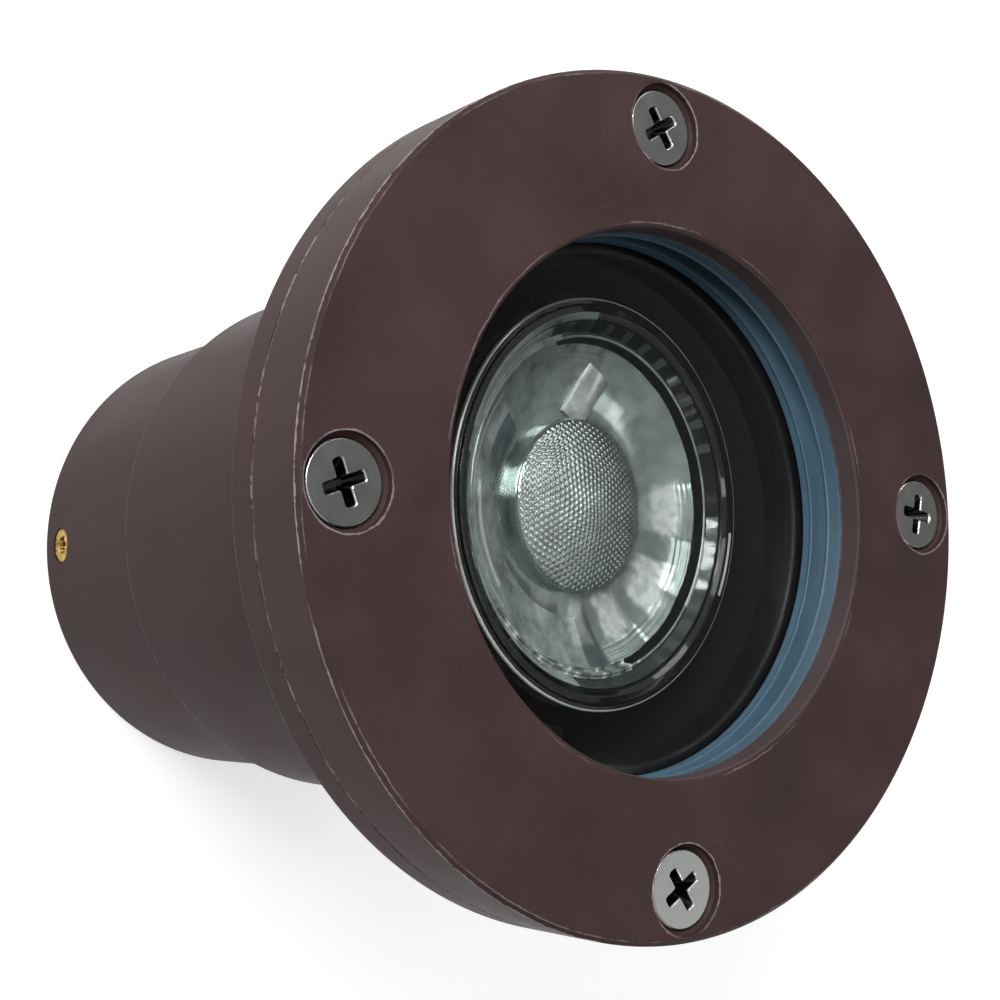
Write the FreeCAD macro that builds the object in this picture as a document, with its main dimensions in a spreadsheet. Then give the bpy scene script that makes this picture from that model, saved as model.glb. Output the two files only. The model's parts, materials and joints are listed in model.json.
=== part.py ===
import FreeCAD, Part
import enum
import math
import os
import re

import Sketcher

# In ground well light, face up: the row's origin is the middle of the flat rear end, +Z runs
# through the middle of the face. All lengths are millimetres and all angles degrees.

SIZES = {
    # the whole light
    "total_height": 103.0,
    "face_radius": 50.0,
    "edge_break": 0.5,
    # cover ring
    "cover_thickness": 9.0,
    "lip_thickness": 3.1,
    "lip_edge_break": 0.35,
    # lens and its channel gasket
    "glass_thickness": 5.0,
    "glass_overhang": 3.34,
    "glass_edge_break": 0.4,
    "gasket_wall": 2.4,
    "gasket_top_lip": 2.6,
    "gasket_bottom_lip": 1.5,
    "gasket_lip_width": 3.1,
    "gasket_clearance": 0.3,
    "gasket_inset": 6.65,
    # housing casting
    "flange_thickness": 4.6,
    "front_barrel_wall": 3.95,
    "rear_barrel_radius": 34.0,
    "rear_barrel_wall": 3.8,
    "step_height": 33.0,
    "shoulder_height": 36.0,
    # black sleeve of the lamp well
    "lamp_room": 5.2,
    "sleeve_wall": 1.5,
    "sleeve_fit": 0.1,
    "sleeve_top_gap": 0.3,
    # cover screws
    "screw_count": 4,
    "screw_inset": 5.95,
    "screw_radius": 2.45,
    "screw_length": 12.0,
    "screw_sink": 0.8,
    "screw_head_radius": 4.5,
    "screw_head_edge": 0.4,
    "screw_head_clearance": 0.14,
    "screw_tip_break": 0.6,
    "screw_pocket_radius": 5.1,
    "screw_hole_radius": 2.75,
    "screw_thread_radius": 2.5,
    "recess_span": 5.1,
    "recess_wing": 1.2,
    "recess_floor_span": 2.2,
    "recess_floor_wing": 0.6,
    "recess_depth": 2.3,
    # rear cap, its seal and its three set screws
    "cap_inset": 1.0,
    "cap_top": 14.0,
    "cap_fit": 0.1,
    "conduit_radius": 9.4,
    "conduit_length": 10.0,
    "seal_section_radius": 1.2,
    "seal_height": 10.9,
    "seal_clearance": 0.05,
    "set_screw_count": 3,
    "set_screw_radius": 2.6,
    "set_screw_length": 5.9,
    "set_screw_sink": 0.5,
    "set_screw_height": 5.6,
    "set_screw_clearance": 0.05,
    "hex_radius": 1.45,
    "hex_depth": 2.2,
    # rubber bush over the conduit entry
    "bush_radius": 11.8,
    "bush_fit": 0.1,
    "bush_hole_radius": 1.7,
    "bush_hole_offset": 4.0,
    # lamp yoke, its pivots and where it leans
    "pivot_depth": 31.0,
    "lean_angle": 6.94,
    "lean_direction": -12.2,
    "yoke_drop": 45.3,
    "strap_thickness": 1.4,
    "strap_width": 14.0,
    "foot_half_length": 14.0,
    "knee_height": 23.0,
    "arm_side_room": 3.6,
    "arm_rise": 6.0,
    "pivot_radius": 1.5,
    "pivot_fit": 0.05,
    "pivot_side_gap": 0.3,
    "pivot_head_radius": 2.8,
    "pivot_head_height": 1.8,
    "pivot_slot_width": 0.8,
    "pivot_slot_depth": 0.9,
    "pivot_end_wall": 1.65,
    "pivot_bush_radius": 3.2,
    "lead_hole_radius": 4.4,
    # ceramic socket; it sits a little to one side in the yoke
    "seat_shift": 1.22,
    "socket_depth": 12.0,
    "socket_width": 22.0,
    "socket_height": 14.0,
    "socket_screw_offset": 8.0,
    "socket_screw_radius": 1.5,
    "socket_screw_length": 8.0,
    "socket_screw_head_radius": 2.8,
    "socket_screw_head_height": 1.8,
    "socket_screw_clearance": 0.1,
    "contact_radius": 1.3,
    "contact_length": 8.5,
    "contact_sink": 0.5,
    "contact_fit": 0.1,
    "wire_bore_depth": 4.0,
    # reflector lamp
    "lamp_radius": 25.4,
    "lamp_length": 44.5,
    "lamp_rim_height": 2.6,
    "lamp_bowl_radius": 24.2,
    "lamp_neck_radius": 8.6,
    "lamp_bowl_depth": 29.0,
    "lamp_glass_wall": 1.5,
    "neck_width": 17.0,
    "neck_depth": 9.6,
    "neck_wall": 1.5,
    "neck_floor": 3.0,
    "pin_radius": 0.8,
    "pin_spacing": 5.3,
    "pin_length": 7.1,
    "optic_sink": 1.2,
    "optic_step_radius": 20.4,
    "optic_step_drop": 1.6,
    "optic_cone_radius": 18.6,
    "optic_lens_gap": 0.1,
    "optic_stand": 2.9,
    "optic_foot_radius": 10.5,
    "optic_foot_bore": 6.0,
    "centre_lens_radius": 11.0,
    "centre_lens_top": 5.2,
    "centre_lens_crown": 2.2,
    "centre_lens_edge": 4.0,
    "chip_radius": 4.6,
    "chip_height": 0.8,
    "board_radius": 8.8,
    "board_height": 1.4,
    "core_height": 3.7,
    "core_foot_radius": 7.0,
    "core_tail_radius": 2.6,
    "core_tail_length": 4.0,
    "driver_width": 12.0,
    "driver_thickness": 1.2,
    "driver_gap": 0.6,
    # socket leads and their twist-on connectors
    "lead_radius": 0.9,
    "lead_fit": 0.1,
    "lead_bend": 3.2,
    "lead_low": 6.5,
    "connector_offset": 16.0,
    "connector_side": 4.5,
    "connector_foot": 8.0,
    "connector_length": 15.0,
    "connector_radius": 4.0,
    "connector_tip_radius": 2.4,
    "connector_bore_depth": 5.0,
}

DERIVED = {
    "screw_circle_radius": "face_radius - screw_inset",
    "gasket_radius": "screw_circle_radius - gasket_inset",
    "glass_radius": "gasket_radius - gasket_wall",
    "opening_radius": "glass_radius - glass_overhang",
    "well_radius": "lamp_radius + lamp_room",
    "arm_radius": "well_radius - arm_side_room",
    "pivot_height": "total_height - pivot_depth",
    "flange_top": "total_height - cover_thickness",
    "flange_bottom": "flange_top - flange_thickness",
    "lip_bottom": "total_height - lip_thickness",
    "glass_top": "lip_bottom - gasket_top_lip",
    "glass_bottom": "glass_top - glass_thickness",
    "seat_height": "glass_bottom - gasket_bottom_lip",
    "gasket_bore_radius": "glass_radius - gasket_lip_width",
    "channel_radius": "gasket_radius + gasket_clearance",
    "sleeve_radius": "well_radius + sleeve_wall",
    "sleeve_bore_radius": "sleeve_radius + sleeve_fit",
    "front_barrel_radius": "sleeve_bore_radius + front_barrel_wall",
    "rear_bore_radius": "rear_barrel_radius - rear_barrel_wall",
    "screw_top": "total_height - screw_sink",
    "head_cone_top": "screw_top - screw_head_edge",
    "head_cone_height": "screw_head_radius - screw_radius",
    "sink_top": "head_cone_top - screw_head_radius + screw_pocket_radius - screw_head_clearance",
    "sink_bottom": "sink_top - screw_pocket_radius + screw_hole_radius",
    "cap_radius": "rear_bore_radius - cap_fit",
    "bush_floor": "cap_inset + conduit_length",
    "seal_ring_radius": "rear_bore_radius - seal_section_radius - seal_clearance",
    "groove_radius": "seal_ring_radius - seal_section_radius - seal_clearance",
    "groove_half": "seal_section_radius + seal_clearance",
    "set_screw_outer": "rear_barrel_radius - set_screw_sink",
    "set_screw_inner": "set_screw_outer - set_screw_length",
    "arm_inner": "arm_radius - strap_thickness",
    "yoke_run": "arm_radius - foot_half_length",
    "yoke_slant": "sqrt(yoke_run ^ 2 + knee_height ^ 2)",
    "yoke_shift": "strap_thickness * yoke_slant / knee_height",
    "foot_inner": "foot_half_length + strap_thickness * yoke_run / knee_height - yoke_shift",
    "knee_inner": "(arm_inner + yoke_shift - foot_half_length) * knee_height / yoke_run",
    "arm_top": "yoke_drop + arm_rise",
    "pivot_hole_radius": "pivot_radius + pivot_fit",
    "pivot_head_outer": "arm_inner - pivot_side_gap",
    "pivot_end": "front_barrel_radius - pivot_end_wall",
    "pivot_bush_start": "arm_radius + pivot_side_gap",
    "pivot_bush_end": "sqrt(well_radius ^ 2 - pivot_bush_radius ^ 2) - sleeve_fit / 4",
    "lamp_base": "strap_thickness + socket_height",
    "lamp_face": "lamp_base + lamp_length",
    "bowl_foot": "lamp_face - lamp_bowl_depth",
    "pin_tip": "lamp_base - pin_length",
    "contact_top": "lamp_base - contact_sink",
    "core_bottom": "bowl_foot + lamp_glass_wall",
    "board_bottom": "core_bottom + core_height",
    "board_top": "board_bottom + board_height",
    "optic_foot": "board_top + optic_stand",
    "optic_top": "lamp_face - optic_sink",
    "neck_cavity_floor": "lamp_base + neck_floor",
    "driver_foot": "neck_cavity_floor + driver_gap",
    "driver_height": "core_bottom - core_tail_length - driver_foot",
}

ROW_UP = FreeCAD.Vector(0, 0, 1)

doc = FreeCAD.newDocument("well_light")
sheet = doc.addObject("Spreadsheet::Sheet", "sizes")
NAMES = re.compile(r"\b(" + "|".join(sorted([*SIZES, *DERIVED], key=len, reverse=True)) + r")\b")


class SketchPoint(enum.IntEnum):
    """Ends and centre of a sketch edge, as the sketcher counts them."""
    START = 1
    END = 2
    CENTRE = 3


class SketchAxis(enum.IntEnum):
    """The sketch's own axes, as the sketcher counts them."""
    ACROSS = -1
    UPWARD = -2


# ---- the sheet ---------------------------------------------------------------------------------

def fill_sheet():
    """Puts each driving size and each size worked out from them in its own named cell."""
    rows = [(alias, str(size)) for alias, size in SIZES.items()]
    rows += [(alias, "=" + formula) for alias, formula in DERIVED.items()]
    for number, (alias, content) in enumerate(rows, start=1):
        sheet.set(f"A{number}", alias)
        sheet.set(f"B{number}", content)
        sheet.setAlias(f"B{number}", alias)
    doc.recompute()


def bound(text):
    """An expression with each size's name led back to the sheet."""
    return NAMES.sub(r"sizes.\1", text)


def size(text):
    """The number that an expression of the sheet's sizes gives now."""
    return float(sheet.evalExpression(bound(text)))


def bind(part, **links):
    """Ties properties of a part to expressions; two underscores stand for a dot."""
    for name, text in links.items():
        part.setExpression(name.replace("__", "."), bound(text))


# ---- turned and cut bodies -----------------------------------------------------------------------

def origin_feature(body, role):
    """One of a body's own origin planes or axes."""
    return next(item for item in body.Origin.OriginFeatures if item.Role == role)


def hold_point(sketch, edge, point, across, upward):
    """Fixes one end of a sketch edge by its two coordinates."""
    coordinates = (("DistanceX", across, SketchAxis.UPWARD), ("DistanceY", upward, SketchAxis.ACROSS))
    for kind, text, axis in coordinates:
        if text == "0":
            sketch.addConstraint(Sketcher.Constraint("PointOnObject", edge, point, axis))
        else:
            index = sketch.addConstraint(Sketcher.Constraint(kind, edge, point, size(text)))
            sketch.setExpression(f"Constraints[{index}]", bound(text))


def new_sketch(body, name, role, lift=None):
    """An empty sketch on one of the body's planes, lifted off it where lift is given."""
    sketch = body.newObject("Sketcher::SketchObject", name)
    sketch.AttachmentSupport = [(origin_feature(body, role), "")]
    sketch.MapMode = "FlatFace"
    if lift:
        bind(sketch, AttachmentOffset__Base__z=lift)
    return sketch


def draw_outline(sketch, corners):
    """Closed outline of straight edges whose corners are bound to the sheet."""
    places = [FreeCAD.Vector(size(across), size(upward), 0) for across, upward in corners]
    count = len(places)
    for number, place in enumerate(places):
        sketch.addGeometry(Part.LineSegment(place, places[(number + 1) % count]), False)
    for number in range(count):
        following = (number + 1) % count
        sketch.addConstraint(
            Sketcher.Constraint("Coincident", number, SketchPoint.END, following, SketchPoint.START))
    for number, (across, upward) in enumerate(corners):
        hold_point(sketch, number, SketchPoint.START, across, upward)


def draw_circle(sketch, radius, across, upward):
    """Circle whose radius and centre are bound to the sheet."""
    centre = FreeCAD.Vector(size(across), size(upward), 0)
    edge = sketch.addGeometry(Part.Circle(centre, FreeCAD.Vector(0, 0, 1), size(radius)), False)
    index = sketch.addConstraint(Sketcher.Constraint("Radius", edge, size(radius)))
    sketch.setExpression(f"Constraints[{index}]", bound(radius))
    if across == "0" and upward == "0":
        root = (SketchAxis.ACROSS, SketchPoint.START)
        sketch.addConstraint(Sketcher.Constraint("Coincident", edge, SketchPoint.CENTRE, *root))
    else:
        hold_point(sketch, edge, SketchPoint.CENTRE, across, upward)


def turned(label, corners):
    """Body turned about the row's Z axis from a half outline in the XZ plane."""
    body = doc.addObject("PartDesign::Body", label)
    sketch = new_sketch(body, label + "_outline", "XZ_Plane")
    draw_outline(sketch, corners)
    spin = body.newObject("PartDesign::Revolution", label + "_turned")
    spin.Profile = sketch
    spin.ReferenceAxis = (sketch, ["V_Axis"])
    spin.Angle = 360
    doc.recompute()
    return body


def repeat_round(body, feature, count):
    """Repeats a feature evenly round the body's Z axis."""
    pattern = body.newObject("PartDesign::PolarPattern", feature.Name + "_round")
    pattern.Originals = [feature]
    pattern.Axis = (origin_feature(body, "Z_Axis"), [""])
    pattern.Angle = 360
    bind(pattern, Occurrences=count)
    body.Tip = pattern
    doc.recompute()


def drill(body, name, radius, across, top, depth):
    """Round blind hole straight down from a height; depth is measured from there."""
    sketch = new_sketch(body, name + "_circle", "XY_Plane", lift=top)
    draw_circle(sketch, radius, across, "0")
    hole = body.newObject("PartDesign::Pocket", name)
    hole.Profile = sketch
    bind(hole, Length=depth)
    doc.recompute()
    return hole


def sink_hole(body, name, corners, axis_radius):
    """Hole of a turned outline whose own axis stands upright at a distance from the body's."""
    sketch = new_sketch(body, name + "_outline", "XZ_Plane")
    draw_outline(sketch, corners)
    foot = FreeCAD.Vector(size(axis_radius), 0, 0)
    head = foot + FreeCAD.Vector(0, size("total_height"), 0)
    line = sketch.addGeometry(Part.LineSegment(foot, head), True)
    hold_point(sketch, line, SketchPoint.START, axis_radius, "0")
    hold_point(sketch, line, SketchPoint.END, axis_radius, "total_height")
    cut = body.newObject("PartDesign::Groove", name)
    cut.Profile = sketch
    cut.ReferenceAxis = (sketch, ["Axis0"])
    cut.Angle = 360
    doc.recompute()
    return cut


# ---- primitives and booleans ---------------------------------------------------------------------

def cylinder(label, radius, height, **base):
    """Upright cylinder; x, y and z of its foot are bound to the sheet where they are given."""
    part = doc.addObject("Part::Cylinder", label)
    bind(part, Radius=radius, Height=height)
    bind(part, **{f"Placement__Base__{axis}": text for axis, text in base.items()})
    return part


def cone(label, low_radius, high_radius, height, **base):
    """Upright cone frustum, placed as a cylinder is."""
    part = doc.addObject("Part::Cone", label)
    bind(part, Radius1=low_radius, Radius2=high_radius, Height=height)
    bind(part, **{f"Placement__Base__{axis}": text for axis, text in base.items()})
    return part


def block(label, length, width, height, frame, z="0"):
    """Box centred on a frame's Z axis, standing at height z in that frame."""
    part = doc.addObject("Part::Box", label)
    bind(part, Length=length, Width=width, Height=height)
    corner = FreeCAD.Vector(-size(length) / 2, -size(width) / 2, size(z))
    part.Placement = frame * FreeCAD.Placement(corner, FreeCAD.Rotation())
    return part


def radial(label, radius, start, end, height, direction):
    """Cylinder that lies along a level radius of the barrel, from one distance to another."""
    part = doc.addObject("Part::Cylinder", label)
    bind(part, Radius=radius, Height=f"{end} - ({start})")
    outward = FreeCAD.Vector(math.cos(math.radians(direction)), math.sin(math.radians(direction)), 0)
    base = outward * size(start) + ROW_UP * size(height)
    part.Placement = FreeCAD.Placement(base, FreeCAD.Rotation(ROW_UP, outward))
    return part


def joined(label, parts):
    """Union of parts."""
    union = doc.addObject("Part::MultiFuse", label)
    union.Shapes = parts
    return union


def cut(label, base, tools):
    """Base with every tool taken away from it."""
    tool = tools[0] if len(tools) == 1 else joined(label + "_tools", tools)
    result = doc.addObject("Part::Cut", label)
    result.Base = base
    result.Tool = tool
    return result


def feature(label, shape, placement=None):
    """Part that has a computed shape."""
    part = doc.addObject("Part::Feature", label)
    part.Shape = shape
    if placement:
        part.Placement = placement
    return part


def place(part, placement):
    """Moves a finished part to where it sits in the light."""
    part.Placement = placement
    return part


def turned_shape(outline):
    """Solid of revolution about Z of a closed outline in the XZ plane."""
    return Part.Face(Part.Wire(outline)).revolve(FreeCAD.Vector(0, 0, 0), ROW_UP, 360)


def straight(points):
    """Straight edges through (radius, height) points of the XZ plane."""
    places = [FreeCAD.Vector(radius, 0, height) for radius, height in points]
    return [Part.LineSegment(here, there).toShape() for here, there in zip(places, places[1:])]


# ---- frames --------------------------------------------------------------------------------------

def yoke_frame():
    """Frame of the tilting yoke: X to where it leans, Y along the pivots, origin at its foot."""
    heading = FreeCAD.Rotation(ROW_UP, size("lean_direction"))
    lean = FreeCAD.Rotation(FreeCAD.Vector(0, 1, 0), size("lean_angle"))
    pivot = FreeCAD.Placement(ROW_UP * size("pivot_height"), heading * lean)
    return pivot * FreeCAD.Placement(ROW_UP * -size("yoke_drop"), FreeCAD.Rotation())


def seat_frame():
    """Frame of the socket and the lamp, a little to one side in the yoke."""
    shift = FreeCAD.Placement(FreeCAD.Vector(0, size("seat_shift"), 0), FreeCAD.Rotation())
    return yoke_frame() * shift


def lifted(height):
    """Frame at a height above the foot of the seat frame."""
    return seat_frame() * FreeCAD.Placement(ROW_UP * size(height), FreeCAD.Rotation())


def pivot_directions():
    """Headings of the two pivots, in degrees."""
    across = size("lean_direction") + 90
    return {"a": across, "b": across + 180}


# ---- castings, lens and seals ----------------------------------------------------------------------

def make_housing():
    """Flange and two-step barrel in one piece, with its tapped holes."""
    body = turned("housing_casting", [
        ("rear_bore_radius", "0"),
        ("rear_barrel_radius - edge_break", "0"),
        ("rear_barrel_radius", "edge_break"),
        ("rear_barrel_radius", "step_height"),
        ("front_barrel_radius - edge_break", "step_height"),
        ("front_barrel_radius", "step_height + edge_break"),
        ("front_barrel_radius", "flange_bottom"),
        ("face_radius - edge_break", "flange_bottom"),
        ("face_radius", "flange_bottom + edge_break"),
        ("face_radius", "flange_top - edge_break / 2"),
        ("face_radius - edge_break / 2", "flange_top"),
        ("channel_radius", "flange_top"),
        ("channel_radius", "seat_height"),
        ("sleeve_bore_radius", "seat_height"),
        ("sleeve_bore_radius", "shoulder_height"),
        ("rear_bore_radius", "shoulder_height"),
    ])
    hole = drill(body, "cover_thread", "screw_thread_radius", "screw_circle_radius", "flange_top",
                 "flange_thickness + edge_break")
    repeat_round(body, hole, "screw_count")
    tools = [radial(f"pivot_thread_{side}", "pivot_radius", "well_radius", "pivot_end",
                    "pivot_height", heading)
             for side, heading in pivot_directions().items()]
    tools += [radial(f"set_screw_thread_{number}", "set_screw_radius", "cap_radius - cap_fit",
                     "rear_barrel_radius + edge_break", "set_screw_height", heading)
              for number, heading in set_screw_headings().items()]
    return cut("housing", body, tools)


def make_cover():
    """Cover ring with the lens channel below and four sunk screw holes."""
    body = turned("cover_ring", [
        ("opening_radius", "lip_bottom"),
        ("channel_radius", "lip_bottom"),
        ("channel_radius", "flange_top"),
        ("face_radius - edge_break / 2", "flange_top"),
        ("face_radius", "flange_top + edge_break / 2"),
        ("face_radius", "total_height - edge_break"),
        ("face_radius - edge_break", "total_height"),
        ("opening_radius + lip_edge_break", "total_height"),
        ("opening_radius", "total_height - lip_edge_break"),
    ])
    hole = sink_hole(body, "screw_sinking", [
        ("screw_circle_radius", "flange_top - edge_break"),
        ("screw_circle_radius + screw_hole_radius", "flange_top - edge_break"),
        ("screw_circle_radius + screw_hole_radius", "sink_bottom"),
        ("screw_circle_radius + screw_pocket_radius", "sink_top"),
        ("screw_circle_radius + screw_pocket_radius", "total_height + edge_break"),
        ("screw_circle_radius", "total_height + edge_break"),
    ], "screw_circle_radius")
    repeat_round(body, hole, "screw_count")
    return body


def make_lens():
    """Flat lens and the channel gasket that grips its edge."""
    glass = turned("lens_glass", [
        ("0", "glass_bottom"),
        ("glass_radius - glass_edge_break", "glass_bottom"),
        ("glass_radius", "glass_bottom + glass_edge_break"),
        ("glass_radius", "glass_top - glass_edge_break"),
        ("glass_radius - glass_edge_break", "glass_top"),
        ("0", "glass_top"),
    ])
    gasket = turned("lens_gasket", [
        ("gasket_bore_radius", "seat_height"),
        ("gasket_radius", "seat_height"),
        ("gasket_radius", "lip_bottom"),
        ("gasket_bore_radius", "lip_bottom"),
        ("gasket_bore_radius", "glass_top"),
        ("glass_radius", "glass_top"),
        ("glass_radius", "glass_bottom"),
        ("gasket_bore_radius", "glass_bottom"),
    ])
    return [glass, gasket]


def make_sleeve():
    """Black sleeve of the lamp well, standing on the housing's inner shoulder."""
    tube = turned("sleeve_tube", [
        ("well_radius", "shoulder_height"),
        ("sleeve_radius", "shoulder_height"),
        ("sleeve_radius", "seat_height - sleeve_top_gap"),
        ("well_radius", "seat_height - sleeve_top_gap"),
    ])
    tools = [radial(f"sleeve_hole_{side}", "pivot_radius + pivot_fit", "arm_radius", "pivot_end",
                    "pivot_height", heading)
             for side, heading in pivot_directions().items()]
    return cut("inner_sleeve", tube, tools)


def set_screw_headings():
    """Headings of the rear set screws, in degrees; the first is the one on the row's -X side."""
    count = int(SIZES["set_screw_count"])
    return {number + 1: 180 + number * 360 / count for number in range(count)}


def make_rear_cap():
    """Rear plug with the conduit thread, the seal groove and the set screws' dimples."""
    plug = turned("rear_plug", [
        ("conduit_radius", "cap_inset"),
        ("cap_radius - edge_break", "cap_inset"),
        ("cap_radius", "cap_inset + edge_break"),
        ("cap_radius", "seal_height - groove_half"),
        ("groove_radius", "seal_height - groove_half"),
        ("groove_radius", "seal_height + groove_half"),
        ("cap_radius", "seal_height + groove_half"),
        ("cap_radius", "cap_top"),
        ("bush_radius + bush_fit", "cap_top"),
        ("bush_radius + bush_fit", "bush_floor"),
        ("conduit_radius", "bush_floor"),
    ])
    tools = [radial(f"cap_dimple_{number}", "set_screw_radius + set_screw_clearance",
                    "set_screw_inner", "rear_bore_radius", "set_screw_height", heading)
             for number, heading in set_screw_headings().items()]
    cap = cut("rear_cap", plug, tools)
    seal = doc.addObject("Part::Torus", "rear_cap_seal")
    bind(seal, Radius1="seal_ring_radius", Radius2="seal_section_radius",
         Placement__Base__z="seal_height")
    disc = cylinder("bush_disc", "bush_radius", "cap_top - bush_floor", z="bush_floor")
    holes = [cylinder(f"bush_hole_{side}", "bush_hole_radius", "cap_top", x=f"{side}bush_hole_offset")
             for side in ("", "-")]
    return [cap, seal, cut("cable_bush", disc, holes)]


def make_set_screws():
    """Brass set screws with hexagon sockets, in the rear barrel's wall."""
    screws = []
    for number, heading in set_screw_headings().items():
        shank = radial(f"set_screw_shank_{number}", "set_screw_radius", "set_screw_inner",
                       "set_screw_outer", "set_screw_height", heading)
        key = doc.addObject("Part::Prism", f"set_screw_key_{number}")
        key.Polygon = 6
        bind(key, Circumradius="hex_radius", Height="hex_depth + edge_break")
        turn = shank.Placement.Rotation
        outward = turn.multVec(ROW_UP)
        start = outward * size("set_screw_outer - hex_depth") + ROW_UP * size("set_screw_height")
        key.Placement = FreeCAD.Placement(start, turn)
        screws.append(cut(f"set_screw_{number}", shank, [key]))
    return joined("rear_set_screws", screws)


# ---- cover screws ------------------------------------------------------------------------------------

SCREW_PLACES = {
    # heading round the face, turn of the cross recess
    "east": (0, 79),
    "north": (90, 32),
    "west": (180, 19),
    "south": (270, 32),
}


def recess_wing(label, turn):
    """One tapered wing of the cross recess, pointing down from the head's top."""
    wing = doc.addObject("Part::Wedge", label)
    bind(wing, Ymin="0", Ymax="recess_depth")
    bind(wing, Xmin="-recess_floor_span / 2", Xmax="recess_floor_span / 2")
    bind(wing, Zmin="-recess_floor_wing / 2", Zmax="recess_floor_wing / 2")
    bind(wing, X2min="-recess_span / 2", X2max="recess_span / 2")
    bind(wing, Z2min="-recess_wing / 2", Z2max="recess_wing / 2")
    upright = FreeCAD.Rotation(FreeCAD.Vector(1, 0, 0), 90)
    base = ROW_UP * size("screw_length - recess_depth")
    wing.Placement = FreeCAD.Placement(base, FreeCAD.Rotation(ROW_UP, turn) * upright)
    return wing


def make_cover_screw(side):
    """Flat-head screw with a cross recess, turned as it stands in the light."""
    heading, turn = SCREW_PLACES[side]
    name = "cover_screw_" + side
    blank = turned(name + "_blank", [
        ("0", "0"),
        ("screw_radius - screw_tip_break", "0"),
        ("screw_radius", "screw_tip_break"),
        ("screw_radius", "screw_length - screw_head_edge - head_cone_height"),
        ("screw_head_radius", "screw_length - screw_head_edge"),
        ("screw_head_radius", "screw_length"),
        ("0", "screw_length"),
    ])
    wings = [recess_wing(f"{name}_wing_{number}", number * 90) for number in range(2)]
    screw = cut(name, blank, wings)
    outward = FreeCAD.Rotation(ROW_UP, heading).multVec(FreeCAD.Vector(1, 0, 0))
    foot = outward * size("screw_circle_radius") + ROW_UP * size("screw_top - screw_length")
    return place(screw, FreeCAD.Placement(foot, FreeCAD.Rotation(ROW_UP, turn)))


# ---- yoke, pivots and socket ---------------------------------------------------------------------------

def make_yoke():
    """Bent strap that carries the socket, with its pivot, screw and lead holes."""
    body = doc.addObject("PartDesign::Body", "yoke_strap")
    sketch = new_sketch(body, "yoke_outline", "YZ_Plane")
    draw_outline(sketch, [
        ("0", "0"),
        ("foot_half_length", "0"),
        ("arm_radius", "knee_height"),
        ("arm_radius", "arm_top"),
        ("arm_inner", "arm_top"),
        ("arm_inner", "knee_inner"),
        ("foot_inner", "strap_thickness"),
        ("0", "strap_thickness"),
    ])
    pad = body.newObject("PartDesign::Pad", "yoke_half")
    pad.Profile = sketch
    pad.Midplane = True
    bind(pad, Length="strap_width")
    doc.recompute()
    mirror = body.newObject("PartDesign::Mirrored", "yoke_halves")
    mirror.Originals = [pad]
    mirror.MirrorPlane = (origin_feature(body, "XZ_Plane"), [""])
    body.Tip = mirror
    doc.recompute()
    pivot = doc.addObject("Part::Cylinder", "yoke_pivot_bore")
    bind(pivot, Radius="pivot_hole_radius", Height="2 * arm_radius + 2 * strap_thickness")
    across = FreeCAD.Rotation(FreeCAD.Vector(1, 0, 0), -90)
    start = FreeCAD.Vector(0, -size("arm_radius + strap_thickness"), size("yoke_drop"))
    pivot.Placement = FreeCAD.Placement(start, across)
    drop = "-strap_thickness"
    through = "3 * strap_thickness"
    leads = cylinder("yoke_lead_hole", "lead_hole_radius", through, y="seat_shift", z=drop)
    screws = [cylinder(f"yoke_screw_hole_{number}", "socket_screw_radius + socket_screw_clearance",
                       through, y=f"seat_shift {sign} socket_screw_offset", z=drop)
              for number, sign in enumerate("+-")]
    return place(cut("lamp_yoke", body, [pivot, leads, *screws]), yoke_frame())


def make_pivots():
    """The yoke's two pivot screws and the bushes that keep it off the sleeve."""
    screws = []
    bushes = []
    for side, heading in pivot_directions().items():
        shank = radial(f"pivot_shank_{side}", "pivot_radius", "pivot_head_outer", "pivot_end",
                       "pivot_height", heading)
        head = radial(f"pivot_head_{side}", "pivot_head_radius",
                      "pivot_head_outer - pivot_head_height", "pivot_head_outer", "pivot_height",
                      heading)
        slot = block(f"pivot_slot_{side}", "3 * pivot_head_radius", "pivot_slot_width",
                     "pivot_slot_depth", head.Placement)
        screws.append(cut(f"pivot_screw_{side}", joined(f"pivot_blank_{side}", [shank, head]), [slot]))
        tube = radial(f"pivot_tube_{side}", "pivot_bush_radius", "pivot_bush_start",
                      "pivot_bush_end", "pivot_height", heading)
        bore = radial(f"pivot_bush_bore_{side}", "pivot_hole_radius", "arm_radius",
                      "well_radius", "pivot_height", heading)
        bushes.append(cut(f"pivot_bush_{side}", tube, [bore]))
    return [joined("pivot_screws", screws), joined("pivot_bushes", bushes)]


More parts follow.
